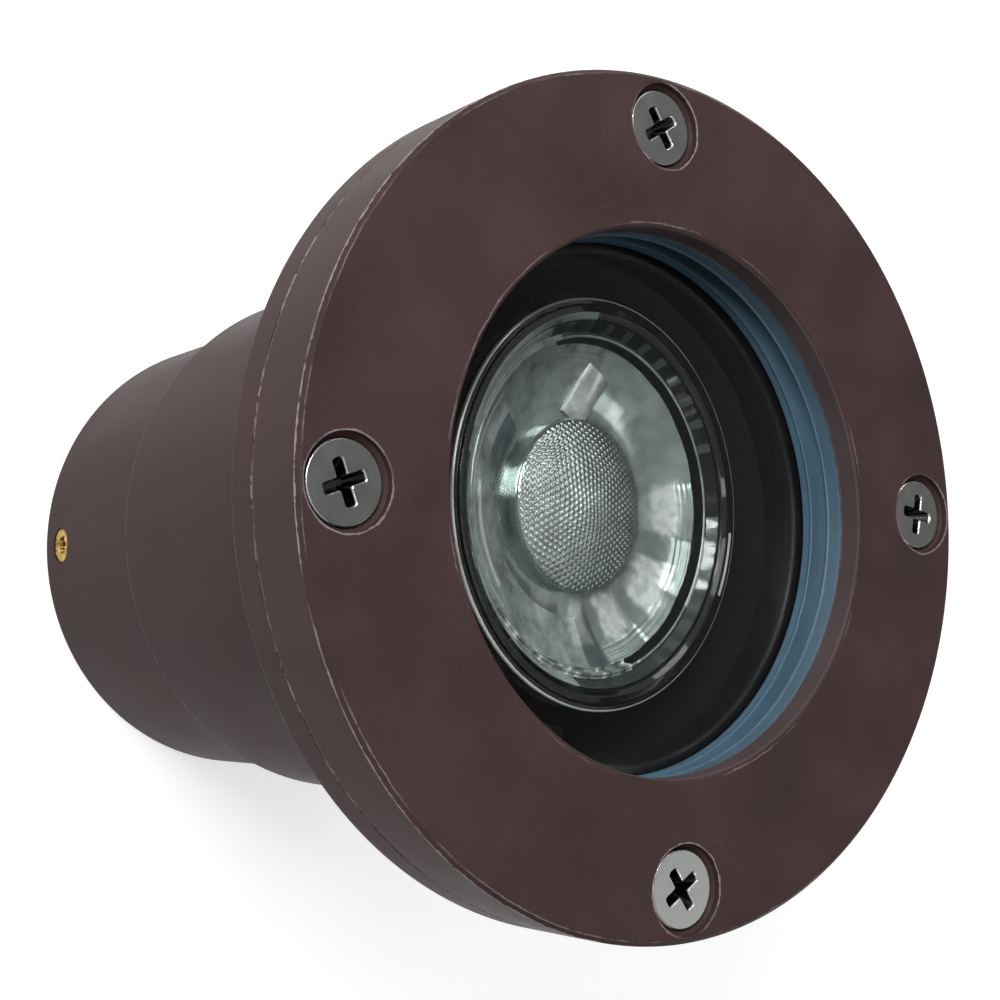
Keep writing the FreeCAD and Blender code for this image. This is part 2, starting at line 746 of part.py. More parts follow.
def make_socket():
    """Ceramic two-pin socket with its contact tubes and fixing screws."""
    body = block("socket_block", "socket_depth", "socket_width", "socket_height",
                 FreeCAD.Placement(), z="strap_thickness")
    pins = [cylinder(f"socket_pin_bore_{number}", "contact_radius + contact_fit / 2",
                     "contact_length + contact_sink + edge_break", y=f"{sign}pin_spacing / 2",
                     z="contact_top - contact_length")
            for number, sign in enumerate(("", "-"))]
    wires = [cylinder(f"socket_wire_bore_{number}", "lead_radius + lead_fit",
                      "wire_bore_depth + strap_thickness", y=f"{sign}pin_spacing / 2")
             for number, sign in enumerate(("", "-"))]
    threads = [cylinder(f"socket_thread_{number}", "socket_screw_radius",
                        "socket_screw_length + edge_break", y=f"{sign}socket_screw_offset")
               for number, sign in enumerate(("", "-"))]
    socket = cut("socket_body", body, pins + wires + threads)
    tubes = []
    screws = []
    for number, sign in enumerate(("", "-")):
        side = f"{sign}pin_spacing / 2"
        tube = cylinder(f"contact_tube_{number}", "contact_radius", "contact_length", y=side,
                        z="contact_top - contact_length")
        bore = cylinder(f"contact_bore_{number}", "pin_radius + contact_fit", "2 * contact_length",
                        y=side, z="strap_thickness")
        tubes.append(cut(f"contact_{number}", tube, [bore]))
        side = f"{sign}socket_screw_offset"
        shank = cylinder(f"socket_screw_shank_{number}", "socket_screw_radius",
                         "socket_screw_length", y=side)
        head = cylinder(f"socket_screw_head_{number}", "socket_screw_head_radius",
                        "socket_screw_head_height", y=side, z="-socket_screw_head_height")
        screws.append(joined(f"socket_screw_{number}", [shank, head]))
    pieces = [socket, joined("socket_contacts", tubes), joined("socket_screws", screws)]
    return [place(piece, seat_frame()) for piece in pieces]


def tube_along(points, bend, radius):
    """Round tube along straight runs joined by tangent arcs of one bend radius."""
    edges = []
    start = points[0]
    for before, corner, after in zip(points, points[1:], points[2:]):
        incoming = (corner - before).normalize()
        outgoing = (after - corner).normalize()
        turn = incoming.getAngle(outgoing)
        reach = bend * math.tan(turn / 2)
        enter = corner - incoming * reach
        leave = corner + outgoing * reach
        inward = (outgoing - incoming).normalize()
        middle = corner + inward * (bend / math.cos(turn / 2) - bend)
        edges.append(Part.LineSegment(start, enter).toShape())
        edges.append(Part.Arc(enter, middle, leave).toShape())
        start = leave
    edges.append(Part.LineSegment(start, points[-1]).toShape())
    way = (points[1] - points[0]).normalize()
    ring = Part.Wire(Part.Circle(points[0], way, radius).toShape())
    return Part.Wire(edges).makePipeShell([ring], True, False)


def make_leads():
    """Two short leads from the socket, each ending in a twist-on connector beside it."""
    pieces = []
    connectors = []
    for side, sign in (("a", 1), ("b", -1)):
        exit_y = size("seat_shift") + sign * size("pin_spacing") / 2
        out = sign * size("connector_offset")
        aside = sign * size("connector_side")
        low = -size("lead_low")
        bend = size("lead_bend")
        route = [
            FreeCAD.Vector(0, exit_y, size("strap_thickness + wire_bore_depth - lead_fit")),
            FreeCAD.Vector(0, exit_y, low),
            FreeCAD.Vector(out, aside, low),
            FreeCAD.Vector(out, aside, size("connector_foot + connector_bore_depth - lead_fit")),
        ]
        lead = feature(f"socket_lead_{side}", tube_along(route, bend, size("lead_radius")),
                       yoke_frame())
        shell = cone(f"connector_shell_{side}", "connector_radius", "connector_tip_radius",
                     "connector_length", z="connector_foot")
        bore = cylinder(f"connector_bore_{side}", "lead_radius + lead_fit",
                        "connector_foot + connector_bore_depth")
        connector = cut(f"connector_{side}", shell, [bore])
        pieces.append(lead)
        connectors.append(place(connector, FreeCAD.Placement(FreeCAD.Vector(out, aside, 0),
                                                             FreeCAD.Rotation())))
    pieces.append(place(joined("wire_connectors", connectors), yoke_frame()))
    return pieces


# ---- lamp ----------------------------------------------------------------------------------------------

def bowl_radius(depth, rim_radius, foot_radius, rim_depth, foot_depth):
    """Radius of the lamp's bowl at a depth below its face: a parabola that opens to the rim."""
    share = (foot_depth - depth) / (foot_depth - rim_depth)
    return foot_radius + (rim_radius - foot_radius) * math.sqrt(max(share, 0.0))


def bowl_curve(rim_radius, foot_radius, rim_depth, foot_depth, face, spans=7):
    """Smooth edge down the bowl's wall; its points crowd towards the foot, where it curves."""
    points = []
    for number in range(spans + 1):
        share = 1 - (1 - number / spans) ** 2
        depth = rim_depth + (foot_depth - rim_depth) * share
        radius = bowl_radius(depth, rim_radius, foot_radius, rim_depth, foot_depth)
        points.append(FreeCAD.Vector(radius, 0, face - depth))
    curve = Part.BSplineCurve()
    curve.interpolate(points)
    return curve.toShape()


def make_lamp_cup():
    """Glass body of the lamp: rim, bowl and oval neck with the pin holes."""
    face = size("lamp_face")
    rim = size("lamp_rim_height")
    wall = size("lamp_glass_wall")
    outer_foot = size("lamp_bowl_depth")
    inner_foot = outer_foot - wall
    ledge = size("lamp_radius - lamp_bowl_radius")
    outer = bowl_curve(size("lamp_bowl_radius"), size("lamp_neck_radius"), rim + ledge, outer_foot,
                       face)
    bore_radius = size("lamp_bowl_radius - lamp_glass_wall")
    core_radius = size("lamp_neck_radius - lamp_glass_wall")
    inner = bowl_curve(bore_radius, core_radius, rim, inner_foot, face)
    front = straight([(bore_radius, face - rim), (bore_radius, face), (size("lamp_radius"), face),
                      (size("lamp_radius"), face - rim), (size("lamp_bowl_radius"), face - rim - ledge)])
    foot = straight([(size("lamp_neck_radius"), face - outer_foot), (0, face - outer_foot),
                     (0, face - inner_foot), (core_radius, face - inner_foot)])
    bowl = turned_shape(Part.sortEdges([*front, outer, *foot, inner])[0])
    width = size("neck_width")
    depth = size("neck_depth")
    base = size("lamp_base")
    bridge = size("bowl_foot") + wall - base
    neck = oval_prism(width, depth, bridge, base)
    cavity = oval_prism(width - 2 * size("neck_wall"), depth - 2 * size("neck_wall"),
                        bridge, size("neck_cavity_floor"))
    holes = [Part.makeCylinder(size("pin_radius"), size("neck_floor"),
                               FreeCAD.Vector(0, sign * size("pin_spacing") / 2, base))
             for sign in (1, -1)]
    tools = [cavity, *holes]
    return feature("lamp_glass_cup", bowl.fuse(neck).cut(tools).removeSplitter(), seat_frame())


def oval_prism(width, depth, height, base):
    """Upright prism with two straight sides along Y and two half-round ends."""
    half = width / 2 - depth / 2
    side = depth / 2
    corners = [FreeCAD.Vector(side, -half, base), FreeCAD.Vector(side, half, base),
               FreeCAD.Vector(-side, half, base), FreeCAD.Vector(-side, -half, base)]
    edges = [
        Part.LineSegment(corners[0], corners[1]).toShape(),
        Part.Arc(corners[1], FreeCAD.Vector(0, width / 2, base), corners[2]).toShape(),
        Part.LineSegment(corners[2], corners[3]).toShape(),
        Part.Arc(corners[3], FreeCAD.Vector(0, -width / 2, base), corners[0]).toShape(),
    ]
    return Part.Face(Part.Wire(edges)).extrude(ROW_UP * height)


def make_lamp_optic():
    """Clear ring optic: stepped front, cone down to the centre lens, hollow cone behind."""
    rim = "lamp_bowl_radius - lamp_glass_wall - optic_lens_gap"
    lens_seat = "lamp_face - centre_lens_top - centre_lens_edge"
    optic = turned("lamp_optic", [
        ("centre_lens_radius + optic_lens_gap", "lamp_face - centre_lens_top"),
        ("optic_cone_radius", "optic_top - optic_step_drop"),
        ("optic_step_radius", "optic_top - optic_step_drop"),
        ("optic_step_radius", "optic_top"),
        (rim, "optic_top"),
        (rim, "optic_top - optic_step_drop"),
        ("optic_foot_radius", "optic_foot"),
        ("optic_foot_bore", "optic_foot"),
        ("optic_foot_bore", lens_seat),
        ("centre_lens_radius + optic_lens_gap", lens_seat),
    ])
    return place(optic, seat_frame())


def make_centre_lens():
    """Crowned round lens in the middle of the optic; its pebbled skin is surface finish."""
    top = size("lamp_face - centre_lens_top")
    edge = size("centre_lens_edge")
    crown = size("centre_lens_crown")
    radius = size("centre_lens_radius")
    ball = (radius ** 2 + crown ** 2) / (2 * crown)
    halfway = FreeCAD.Vector(radius / 2, 0, top + crown - ball + math.sqrt(ball ** 2 - radius ** 2 / 4))
    crest = Part.Arc(FreeCAD.Vector(radius, 0, top), halfway, FreeCAD.Vector(0, 0, top + crown)).toShape()
    sides = straight([(0, top + crown), (0, top - edge), (radius, top - edge), (radius, top)])
    return feature("lamp_centre_lens", turned_shape([crest, *sides]), seat_frame())


def make_lamp_inside():
    """Chip, board, metal core and driver board behind the optic, and the two pins."""
    chip = place(cylinder("lamp_chip", "chip_radius", "chip_height"), lifted("board_top"))
    board = place(cylinder("lamp_board", "board_radius", "board_height"), lifted("board_bottom"))
    core = joined("lamp_heat_sink", [
        cone("core_cone", "core_foot_radius", "board_radius", "core_height", z="core_bottom"),
        cylinder("core_tail", "core_tail_radius", "core_tail_length",
                 z="core_bottom - core_tail_length"),
    ])
    driver = block("lamp_driver_board", "driver_thickness", "driver_width", "driver_height",
                   seat_frame(), z="driver_foot")
    pins = joined("lamp_pins", [
        cylinder(f"lamp_pin_{number}", "pin_radius", "pin_length + neck_floor",
                 y=f"{sign}pin_spacing / 2", z="pin_tip")
        for number, sign in enumerate(("", "-"))
    ])
    return [chip, board, place(core, seat_frame()), driver, place(pins, seat_frame())]


def make_lamp():
    """All of the reflector lamp, in its socket."""
    return [make_lamp_cup(), make_centre_lens(), make_lamp_optic(), *make_lamp_inside()]


# ---- assembly ----------------------------------------------------------------------------------------

def make_all():
    """Every node of the light, in the order in which it would be put together."""
    nodes = [make_housing(), make_sleeve(), *make_rear_cap(), make_set_screws()]
    nodes += [make_yoke(), *make_pivots(), *make_socket(), *make_leads()]
    nodes += make_lamp()
    nodes += [*make_lens(), make_cover()]
    nodes += [make_cover_screw(side) for side in SCREW_PLACES]
    return nodes


def check_document():
    """Stops if any object failed to compute."""
    for item in doc.Objects:
        if "Invalid" in item.State or "Error" in item.State:
            raise RuntimeError(f"{item.Label}: {item.State}")


def check_node(node):
    """Stops if a node has no sound solid."""
    shape = node.Shape
    if shape.isNull() or not shape.isValid() or not shape.Solids:
        raise RuntimeError(f"{node.Label}: no valid solid")


def write_parts(nodes):
    """Writes one STEP file for each node."""
    os.makedirs("parts", exist_ok=True)
    for node in nodes:
        node.Shape.exportStep(os.path.join("parts", node.Label + ".step"))


fill_sheet()
NODES = make_all()
doc.recompute()
check_document()
for each in NODES:
    check_node(each)
    box = each.Shape.BoundBox
    print(f"{each.Label:22s} solids {len(each.Shape.Solids)}  volume {each.Shape.Volume:10.1f}"
          f"  z {box.ZMin:7.2f} {box.ZMax:7.2f}  x {box.XMin:7.2f} {box.XMax:7.2f}")
write_parts(NODES)
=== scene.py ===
"""Looks of the in ground well light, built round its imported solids.

The light stands on its rear end with the face up. Outlines are in millimetres; objects are in metres.
"""

from __future__ import annotations

import enum
import json
import logging
import math
from collections.abc import Iterable, Sequence
from dataclasses import dataclass, field

import bmesh
import bpy
import numpy as np
from mathutils import Matrix, Vector

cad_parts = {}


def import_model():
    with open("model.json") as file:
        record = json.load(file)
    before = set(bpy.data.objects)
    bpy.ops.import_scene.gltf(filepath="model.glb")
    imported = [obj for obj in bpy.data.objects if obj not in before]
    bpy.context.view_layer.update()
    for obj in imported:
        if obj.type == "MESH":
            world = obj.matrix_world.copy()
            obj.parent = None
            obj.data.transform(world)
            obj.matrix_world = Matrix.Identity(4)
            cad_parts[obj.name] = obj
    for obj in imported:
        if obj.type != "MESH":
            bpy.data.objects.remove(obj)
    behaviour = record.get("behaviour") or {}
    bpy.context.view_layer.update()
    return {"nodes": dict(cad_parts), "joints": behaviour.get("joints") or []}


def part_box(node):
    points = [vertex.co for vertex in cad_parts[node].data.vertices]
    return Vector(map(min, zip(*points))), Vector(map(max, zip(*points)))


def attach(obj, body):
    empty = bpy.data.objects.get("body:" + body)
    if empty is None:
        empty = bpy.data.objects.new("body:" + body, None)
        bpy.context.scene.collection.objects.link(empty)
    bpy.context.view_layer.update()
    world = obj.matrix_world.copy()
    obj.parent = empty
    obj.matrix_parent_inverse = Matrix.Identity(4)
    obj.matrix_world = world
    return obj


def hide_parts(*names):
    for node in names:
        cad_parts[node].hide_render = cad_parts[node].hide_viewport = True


LOG = logging.getLogger("well_light")
MM = 0.001
NOISE_MIDDLE = 0.5
SHARP_ANGLE = 42.0

Colour = tuple[float, float, float]
Spot = tuple[float, float, float]
Flat = tuple[float, float]
Source = bpy.types.NodeSocket | float | Sequence[float]
Ring = Sequence[bmesh.types.BMVert]

WHITE: Colour = (1.0, 1.0, 1.0)


# ---- shader graphs -------------------------------------------------------------------------------


class Graph:
    """A node tree that is being filled in."""

    def __init__(self, tree: bpy.types.NodeTree) -> None:
        """Keeps the tree."""
        self.tree = tree

    def node(self, kind: str, **settings: object) -> bpy.types.Node:
        """Adds a node.

        Args:
            kind: Blender's name of the node type.
            settings: properties of the node itself.

        Returns:
            The new node.
        """
        made = self.tree.nodes.new(kind)
        for name, value in settings.items():
            setattr(made, name, value)
        return made

    def feed(self, socket: bpy.types.NodeSocket, source: Source) -> None:
        """Links an input to another socket, or sets its plain value.

        Args:
            socket: the input.
            source: an output socket, or the value itself.
        """
        if isinstance(source, bpy.types.NodeSocket):
            self.tree.links.new(source, socket)
        else:
            socket.default_value = source

    def math(self, operation: str, first: Source, second: Source = 0.0) -> bpy.types.NodeSocket:
        """Adds one arithmetic step on two values.

        Args:
            operation: Blender's name of the step.
            first: the first value.
            second: the second value.

        Returns:
            The result.
        """
        made = self.node("ShaderNodeMath", operation=operation)
        self.feed(made.inputs[0], first)
        self.feed(made.inputs[1], second)
        return made.outputs[0]

    def hypot(self, first: Source, second: Source) -> bpy.types.NodeSocket:
        """Adds the length of a line from its two parts.

        Args:
            first: the part along one way.
            second: the part across it.

        Returns:
            The length.
        """
        squares = [self.math("POWER", part, 2.0) for part in (first, second)]
        return self.math("SQRT", self.math("ADD", *squares))

    def stretched(self, vector: Source, shares: Sequence[float]) -> bpy.types.NodeSocket:
        """Multiplies the three parts of a vector.

        Args:
            vector: the vector.
            shares: what each part is multiplied by.

        Returns:
            The longer or shorter vector.
        """
        made = self.node("ShaderNodeVectorMath", operation="MULTIPLY")
        self.feed(made.inputs[0], vector)
        self.feed(made.inputs[1], shares)
        return made.outputs[0]

    def noise(self, vector: Source, scale: Source, detail: float = 4.0) -> bpy.types.NodeSocket:
        """Adds smooth noise from 0 to 1 about its middle.

        Args:
            vector: the place that it is read at.
            scale: how many of its waves go into one unit of length.
            detail: how many finer layers it has.

        Returns:
            The noise.
        """
        made = self.node("ShaderNodeTexNoise")
        self.feed(made.inputs["Vector"], vector)
        self.feed(made.inputs["Scale"], scale)
        made.inputs["Detail"].default_value = detail
        return made.outputs[0]

    def spread(self, value: Source, low: Source, high: Source, first: Source = 0.0,
               last: Source = 1.0) -> bpy.types.NodeSocket:
        """Maps a value from one range to another with soft, clamped ends.

        Args:
            value: the value.
            low: where the value's range starts.
            high: where the value's range ends.
            first: what the low end becomes.
            last: what the high end becomes.

        Returns:
            The mapped value.
        """
        made = self.node("ShaderNodeMapRange", interpolation_type="SMOOTHSTEP")
        for name, source in (("Value", value), ("From Min", low), ("From Max", high),
                             ("To Min", first), ("To Max", last)):
            self.feed(made.inputs[name], source)
        return made.outputs[0]

    def blend(self, share: Source, under: Source, over: Source) -> bpy.types.NodeSocket:
        """Lays one colour over another.

        Args:
            share: how much of the upper colour shows.
            under: the lower colour.
            over: the upper colour.

        Returns:
            The mixed colour.
        """
        made = self.node("ShaderNodeMix", data_type="RGBA")
        factor, lower, upper, result = 0, 6, 7, 2
        self.feed(made.inputs[factor], share)
        self.feed(made.inputs[lower], under)
        self.feed(made.inputs[upper], over)
        return made.outputs[result]

    def group(self, tree: bpy.types.NodeTree, **inputs: Source) -> bpy.types.Node:
        """Places a shared effect.

        Args:
            tree: the effect's group.
            inputs: its inputs; a space in a name is written as an underscore.

        Returns:
            The group's node.
        """
        made = self.node("ShaderNodeGroup", node_tree=tree)
        for name, source in inputs.items():
            self.feed(made.inputs[name.replace("_", " ")], source)
        return made


class Effect:
    """A shader node group under construction: its tree, its inputs and its outputs."""

    def __init__(self, name: str, inputs: dict[str, str], outputs: dict[str, str]) -> None:
        """Makes the group's sockets.

        Args:
            name: the group's name.
            inputs: each input's name and socket type.
            outputs: each output's name and socket type.
        """
        self.tree = bpy.data.node_groups.new(name, "ShaderNodeTree")
        for label, kind in inputs.items():
            self.tree.interface.new_socket(label, in_out="INPUT", socket_type="NodeSocket" + kind)
        for label, kind in outputs.items():
            self.tree.interface.new_socket(label, in_out="OUTPUT", socket_type="NodeSocket" + kind)
        self.graph = Graph(self.tree)
        self.given = self.graph.node("NodeGroupInput").outputs
        self.result = self.graph.node("NodeGroupOutput").inputs


def edge_wear_effect() -> bpy.types.NodeTree:
    """Broken line of bare metal along one round edge.

    Returns:
        A group that gives a mask near the circle of a radius and a height, in millimetres.
    """
    effect = Effect("edge_wear", {"Place": "Vector", "Radius": "Float", "Height": "Float",
                                  "Edge Radius": "Float", "Edge Height": "Float", "Reach": "Float",
                                  "Gaps": "Float", "Strength": "Float"}, {"Mask": "Float"})
    graph, given = effect.graph, effect.given
    swing, solid_share, gap_soft = 0.4, 0.45, 0.1
    wander = graph.math("SUBTRACT", graph.noise(given["Place"], scale=0.4, detail=3.0), NOISE_MIDDLE)
    place = graph.math("ADD", given["Radius"], graph.math("MULTIPLY", wander, swing))
    across = graph.math("SUBTRACT", place, given["Edge Radius"])
    along = graph.math("SUBTRACT", given["Height"], given["Edge Height"])
    distance = graph.hypot(across, along)
    fray = graph.spread(graph.noise(given["Place"], scale=1.4), low=0.3, high=0.75, first=0.5, last=1.8)
    reach = graph.math("MULTIPLY", given["Reach"], fray)
    near = graph.spread(distance, graph.math("MULTIPLY", reach, solid_share), reach, first=1.0, last=0.0)
    presence = graph.noise(given["Place"], scale=0.11, detail=3.0)
    low = graph.math("SUBTRACT", given["Gaps"], gap_soft)
    high = graph.math("ADD", given["Gaps"], gap_soft)
    line = graph.math("MULTIPLY", near, graph.spread(presence, low, high))
    graph.feed(effect.result["Mask"], graph.math("MULTIPLY", line, given["Strength"]))
    return effect.tree


def skin_effect() -> bpy.types.NodeTree:
    """Fine unevenness of a painted or moulded skin.

    Returns:
        A group that gives a tone about one half and a height.
    """
    effect = Effect("surface_skin", {"Place": "Vector", "Grain": "Float", "Mottle": "Float"},
                    {"Tone": "Float", "Height": "Float"})
    graph, given = effect.graph, effect.given
    fine_share, broad_share = 0.3, 0.7
    fine = graph.noise(given["Place"], given["Grain"], detail=3.0)
    broad = graph.noise(given["Place"], given["Mottle"])
    tone = graph.math("ADD", graph.math("MULTIPLY", fine, fine_share),
                      graph.math("MULTIPLY", broad, broad_share))
    graph.feed(effect.result["Tone"], tone)
    graph.feed(effect.result["Height"], fine)
    return effect.tree


def painted_patch_effect() -> bpy.types.NodeTree:
    """Soft patch of painted light or painted shade on a round optic, between two headings and two radii.

    Returns:
        A group that gives the patch's mask, in millimetre coordinates.
    """
    effect = Effect("painted_light_and_shade_patch", {"Place": "Vector", "First": "Float", "Last": "Float", "Inner": "Float",
                                   "Outer": "Float", "Strength": "Float"}, {"Mask": "Float"})
    graph, given = effect.graph, effect.given
    radius_swing, heading_swing = 2.6, 9.0
    heading_soft, inner_soft, outer_soft = 2.4, 1.1, 0.8
    rising, falling = (0.0, 1.0), (1.0, 0.0)
    x, y, _ = parts_of(graph, given["Place"])
    wander = graph.math("SUBTRACT", graph.noise(given["Place"], scale=0.5, detail=3.0), NOISE_MIDDLE)
    radius = graph.math("ADD", graph.hypot(x, y), graph.math("MULTIPLY", wander, radius_swing))
    turned = graph.math("DEGREES", graph.math("ARCTAN2", y, x))
    heading = graph.math("ADD", turned, graph.math("MULTIPLY", wander, heading_swing))
    mask = given["Strength"]
    for value, limit, soft, ends in ((heading, "First", heading_soft, rising),
                                     (radius, "Inner", inner_soft, rising),
                                     (heading, "Last", heading_soft, falling),
                                     (radius, "Outer", outer_soft, falling)):
        low = graph.math("SUBTRACT", given[limit], soft)
        high = graph.math("ADD", low, 2 * soft)
        mask = graph.math("MULTIPLY", mask, graph.spread(value, low, high, *ends))
    patchy = graph.spread(graph.noise(given["Place"], scale=0.9), low=0.3, high=0.62, first=0.62,
                          last=1.0)
    graph.feed(effect.result["Mask"], graph.math("MULTIPLY", mask, patchy))
    return effect.tree


def scuff_effect() -> bpy.types.NodeTree:
    """Thin scratches and small specks.

    Returns:
        A group that gives a mask of scratches in millimetre coordinates.
    """
    effect = Effect("scuffs", {"Place": "Vector", "Density": "Float"}, {"Mask": "Float"})
    graph, given = effect.graph, effect.given
    line_stretch, line_width = (0.22, 1.9, 0.9), 0.006
    patch_start, patch_end = 0.8, 0.82
    lines = graph.noise(graph.stretched(given["Place"], line_stretch), scale=0.8, detail=2.0)
    off_line = graph.math("ABSOLUTE", graph.math("SUBTRACT", lines, NOISE_MIDDLE))
    thin = graph.spread(off_line, low=0.0, high=line_width, first=1.0, last=0.0)
    patch = graph.noise(given["Place"], scale=0.07, detail=2.0)
    where = graph.spread(patch, graph.math("SUBTRACT", patch_start, given["Density"]), patch_end)
    graph.feed(effect.result["Mask"], graph.math("MULTIPLY", thin, where))
    return effect.tree


class Effects:
    """The shared effects, each built once."""

    def __init__(self) -> None:
        """Builds every group."""
        self.edge_wear = edge_wear_effect()
        self.skin = skin_effect()
        self.scuffs = scuff_effect()
        self.painted_patch = painted_patch_effect()


# ---- finishes ------------------------------------------------------------------------------------


def new_material(name: str) -> tuple[bpy.types.Material, Graph, bpy.types.Node, bpy.types.Node]:
    """Empty material with one Principled shader.

    Args:
        name: the material's name.

    Returns:
        The material, its graph, its shader and its output node.
    """
    material = bpy.data.materials.new(name)
    material.use_nodes = True
    material.node_tree.nodes.clear()
    graph = Graph(material.node_tree)
    shader = graph.node("ShaderNodeBsdfPrincipled")
    output = graph.node("ShaderNodeOutputMaterial")
    material.node_tree.links.new(shader.outputs[0], output.inputs[0])
    return material, graph, shader, output


def millimetres(graph: Graph) -> bpy.types.NodeSocket:
    """Place on the piece, in millimetres of its own frame."""
    place = graph.node("ShaderNodeTexCoord").outputs["Object"]
    return graph.stretched(place, (1 / MM, 1 / MM, 1 / MM))


def toned(colour: Colour, share: float) -> tuple[float, ...]:
    """Lighter or darker tone of a colour, with full alpha."""
    return (*(share * part for part in colour), 1.0)


def parts_of(graph: Graph, place: bpy.types.NodeSocket) -> bpy.types.NodeOutputs:
    """Splits a place.

    Args:
        graph: the graph that the place is in.
        place: the place.

    Returns:
        Its three coordinates.
    """
    made = graph.node("ShaderNodeSeparateXYZ")
    graph.feed(made.inputs[0], place)
    return made.outputs


def bump(graph: Graph, shader: bpy.types.Node, height: Source, strength: float, depth: float) -> None:
    """Raises the shader's surface.

    Args:
        graph: the material's graph.
        shader: the shader whose surface it is.
        height: how high each place is, from 0 to 1.
        strength: how strongly the relief shades.
        depth: the relief's depth in millimetres.
    """
    made = graph.node("ShaderNodeBump")
    made.inputs["Strength"].default_value = strength
    made.inputs["Distance"].default_value = depth * MM
    graph.feed(made.inputs["Height"], height)
    graph.feed(shader.inputs["Normal"], made.outputs[0])


@dataclass(frozen=True)
class Edge:
    """A round edge that wear has bared: its place and how far the wear reaches."""

    radius: float
    height: float
    reach: float
    gaps: float = 0.42
    strength: float = 1.0


@dataclass(frozen=True)
class BronzePaint:
    """Satin dark bronze paint on cast metal, bared along its edges."""

    name: str
    edges: tuple[Edge, ...]
    hole_rims: tuple[Edge, ...] = ()
    hole_circle: float = 0.0
    colour: Colour = (0.0500, 0.0308, 0.0310)
    worn: Colour = (0.27, 0.22, 0.225)
    sheen: float = 0.05
    dark_tone: float = 0.8
    light_tone: Colour = (1.26, 1.19, 1.17)
    band_share: float = 0.4
    scratches: float = 0.35
    polish: float = 0.08

    def material(self, effects: Effects) -> bpy.types.Material:
        """Builds the paint.

        Args:
            effects: the shared effects.

        Returns:
            The finished material.
        """
        material, graph, shader, _ = new_material(self.name)
        place = millimetres(graph)
        x, y, z = parts_of(graph, place)
        radius = graph.hypot(x, y)
        masks = [self.mask(graph, effects, place, radius, z, edge) for edge in self.edges]
        if self.hole_rims:
            rim = self.hole_distance(graph, x, y)
            masks += [self.mask(graph, effects, place, rim, z, edge) for edge in self.hole_rims]
        worn = masks[0]
        for mask in masks[1:]:
            worn = graph.math("MAXIMUM", worn, mask)
        scuffs = graph.group(effects.scuffs, Place=place, Density=0.2).outputs[0]
        skin = graph.group(effects.skin, Place=place, Grain=2.6, Mottle=0.075)
        upright = graph.stretched(place, (1.0, 1.0, 0.12))
        bands = graph.spread(graph.noise(upright, scale=0.09, detail=2.0), low=0.3, high=0.7)
        tone = graph.math("ADD", graph.spread(skin.outputs["Tone"], 0.3, 0.7, last=1 - self.band_share),
                          graph.math("MULTIPLY", bands, self.band_share))
        light = tuple(share * part for share, part in zip(self.light_tone, self.colour))
        bared = toned(self.worn, 1.0)
        paint = graph.blend(tone, toned(self.colour, self.dark_tone), (*light, 1.0))
        scratched = graph.blend(graph.math("MULTIPLY", scuffs, self.scratches), paint, bared)
        graph.feed(shader.inputs["Base Color"], graph.blend(worn, scratched, bared))
        shine = graph.spread(skin.outputs["Tone"], low=0.25, high=0.75, first=0.37, last=0.49)
        polish = graph.math("MULTIPLY", worn, self.polish)
        graph.feed(shader.inputs["Roughness"], graph.math("SUBTRACT", shine, polish))
        shader.inputs["Specular IOR Level"].default_value = self.sheen
        height = graph.math("SUBTRACT", skin.outputs["Height"], worn)
        bump(graph, shader, height, strength=0.22, depth=0.05)
        return material

    @staticmethod
    def mask(graph: Graph, effects: Effects, place: Source, radius: Source, height: Source,
             edge: Edge) -> bpy.types.NodeSocket:
        """Makes the wear of one edge.

        Args:
            graph: the material's graph.
            effects: the shared effects.
            place: place on the piece, in millimetres.
            radius: distance from the axis that the edge goes round.
            height: height on the piece.
            edge: the edge.

        Returns:
            The mask of bared metal.
        """
        return graph.group(effects.edge_wear, Place=place, Radius=radius, Height=height,
                           Edge_Radius=edge.radius, Edge_Height=edge.height, Reach=edge.reach,
                           Gaps=edge.gaps, Strength=edge.strength).outputs[0]

    def hole_distance(self, graph: Graph, x: Source, y: Source) -> bpy.types.NodeSocket:
        """Distance from the nearest screw's axis, folded from the four round the face.

        Args:
            graph: the material's graph.
            x: the place's first coordinate.
            y: the place's second coordinate.

        Returns:
            The distance in millimetres.
        """
        wide, deep = graph.math("ABSOLUTE", x), graph.math("ABSOLUTE", y)
        outward = graph.math("SUBTRACT", graph.math("MAXIMUM", wide, deep), self.hole_circle)
        return graph.hypot(outward, graph.math("MINIMUM", wide, deep))


@dataclass(frozen=True)
class PaintedPatch:
    """A soft patch of painted light or painted shade on a round optic: its headings in degrees, its
    radii, its colour and strength.
    """

    first: float
    last: float
    inner: float
    outer: float
    colour: Colour
    strength: float = 1.0


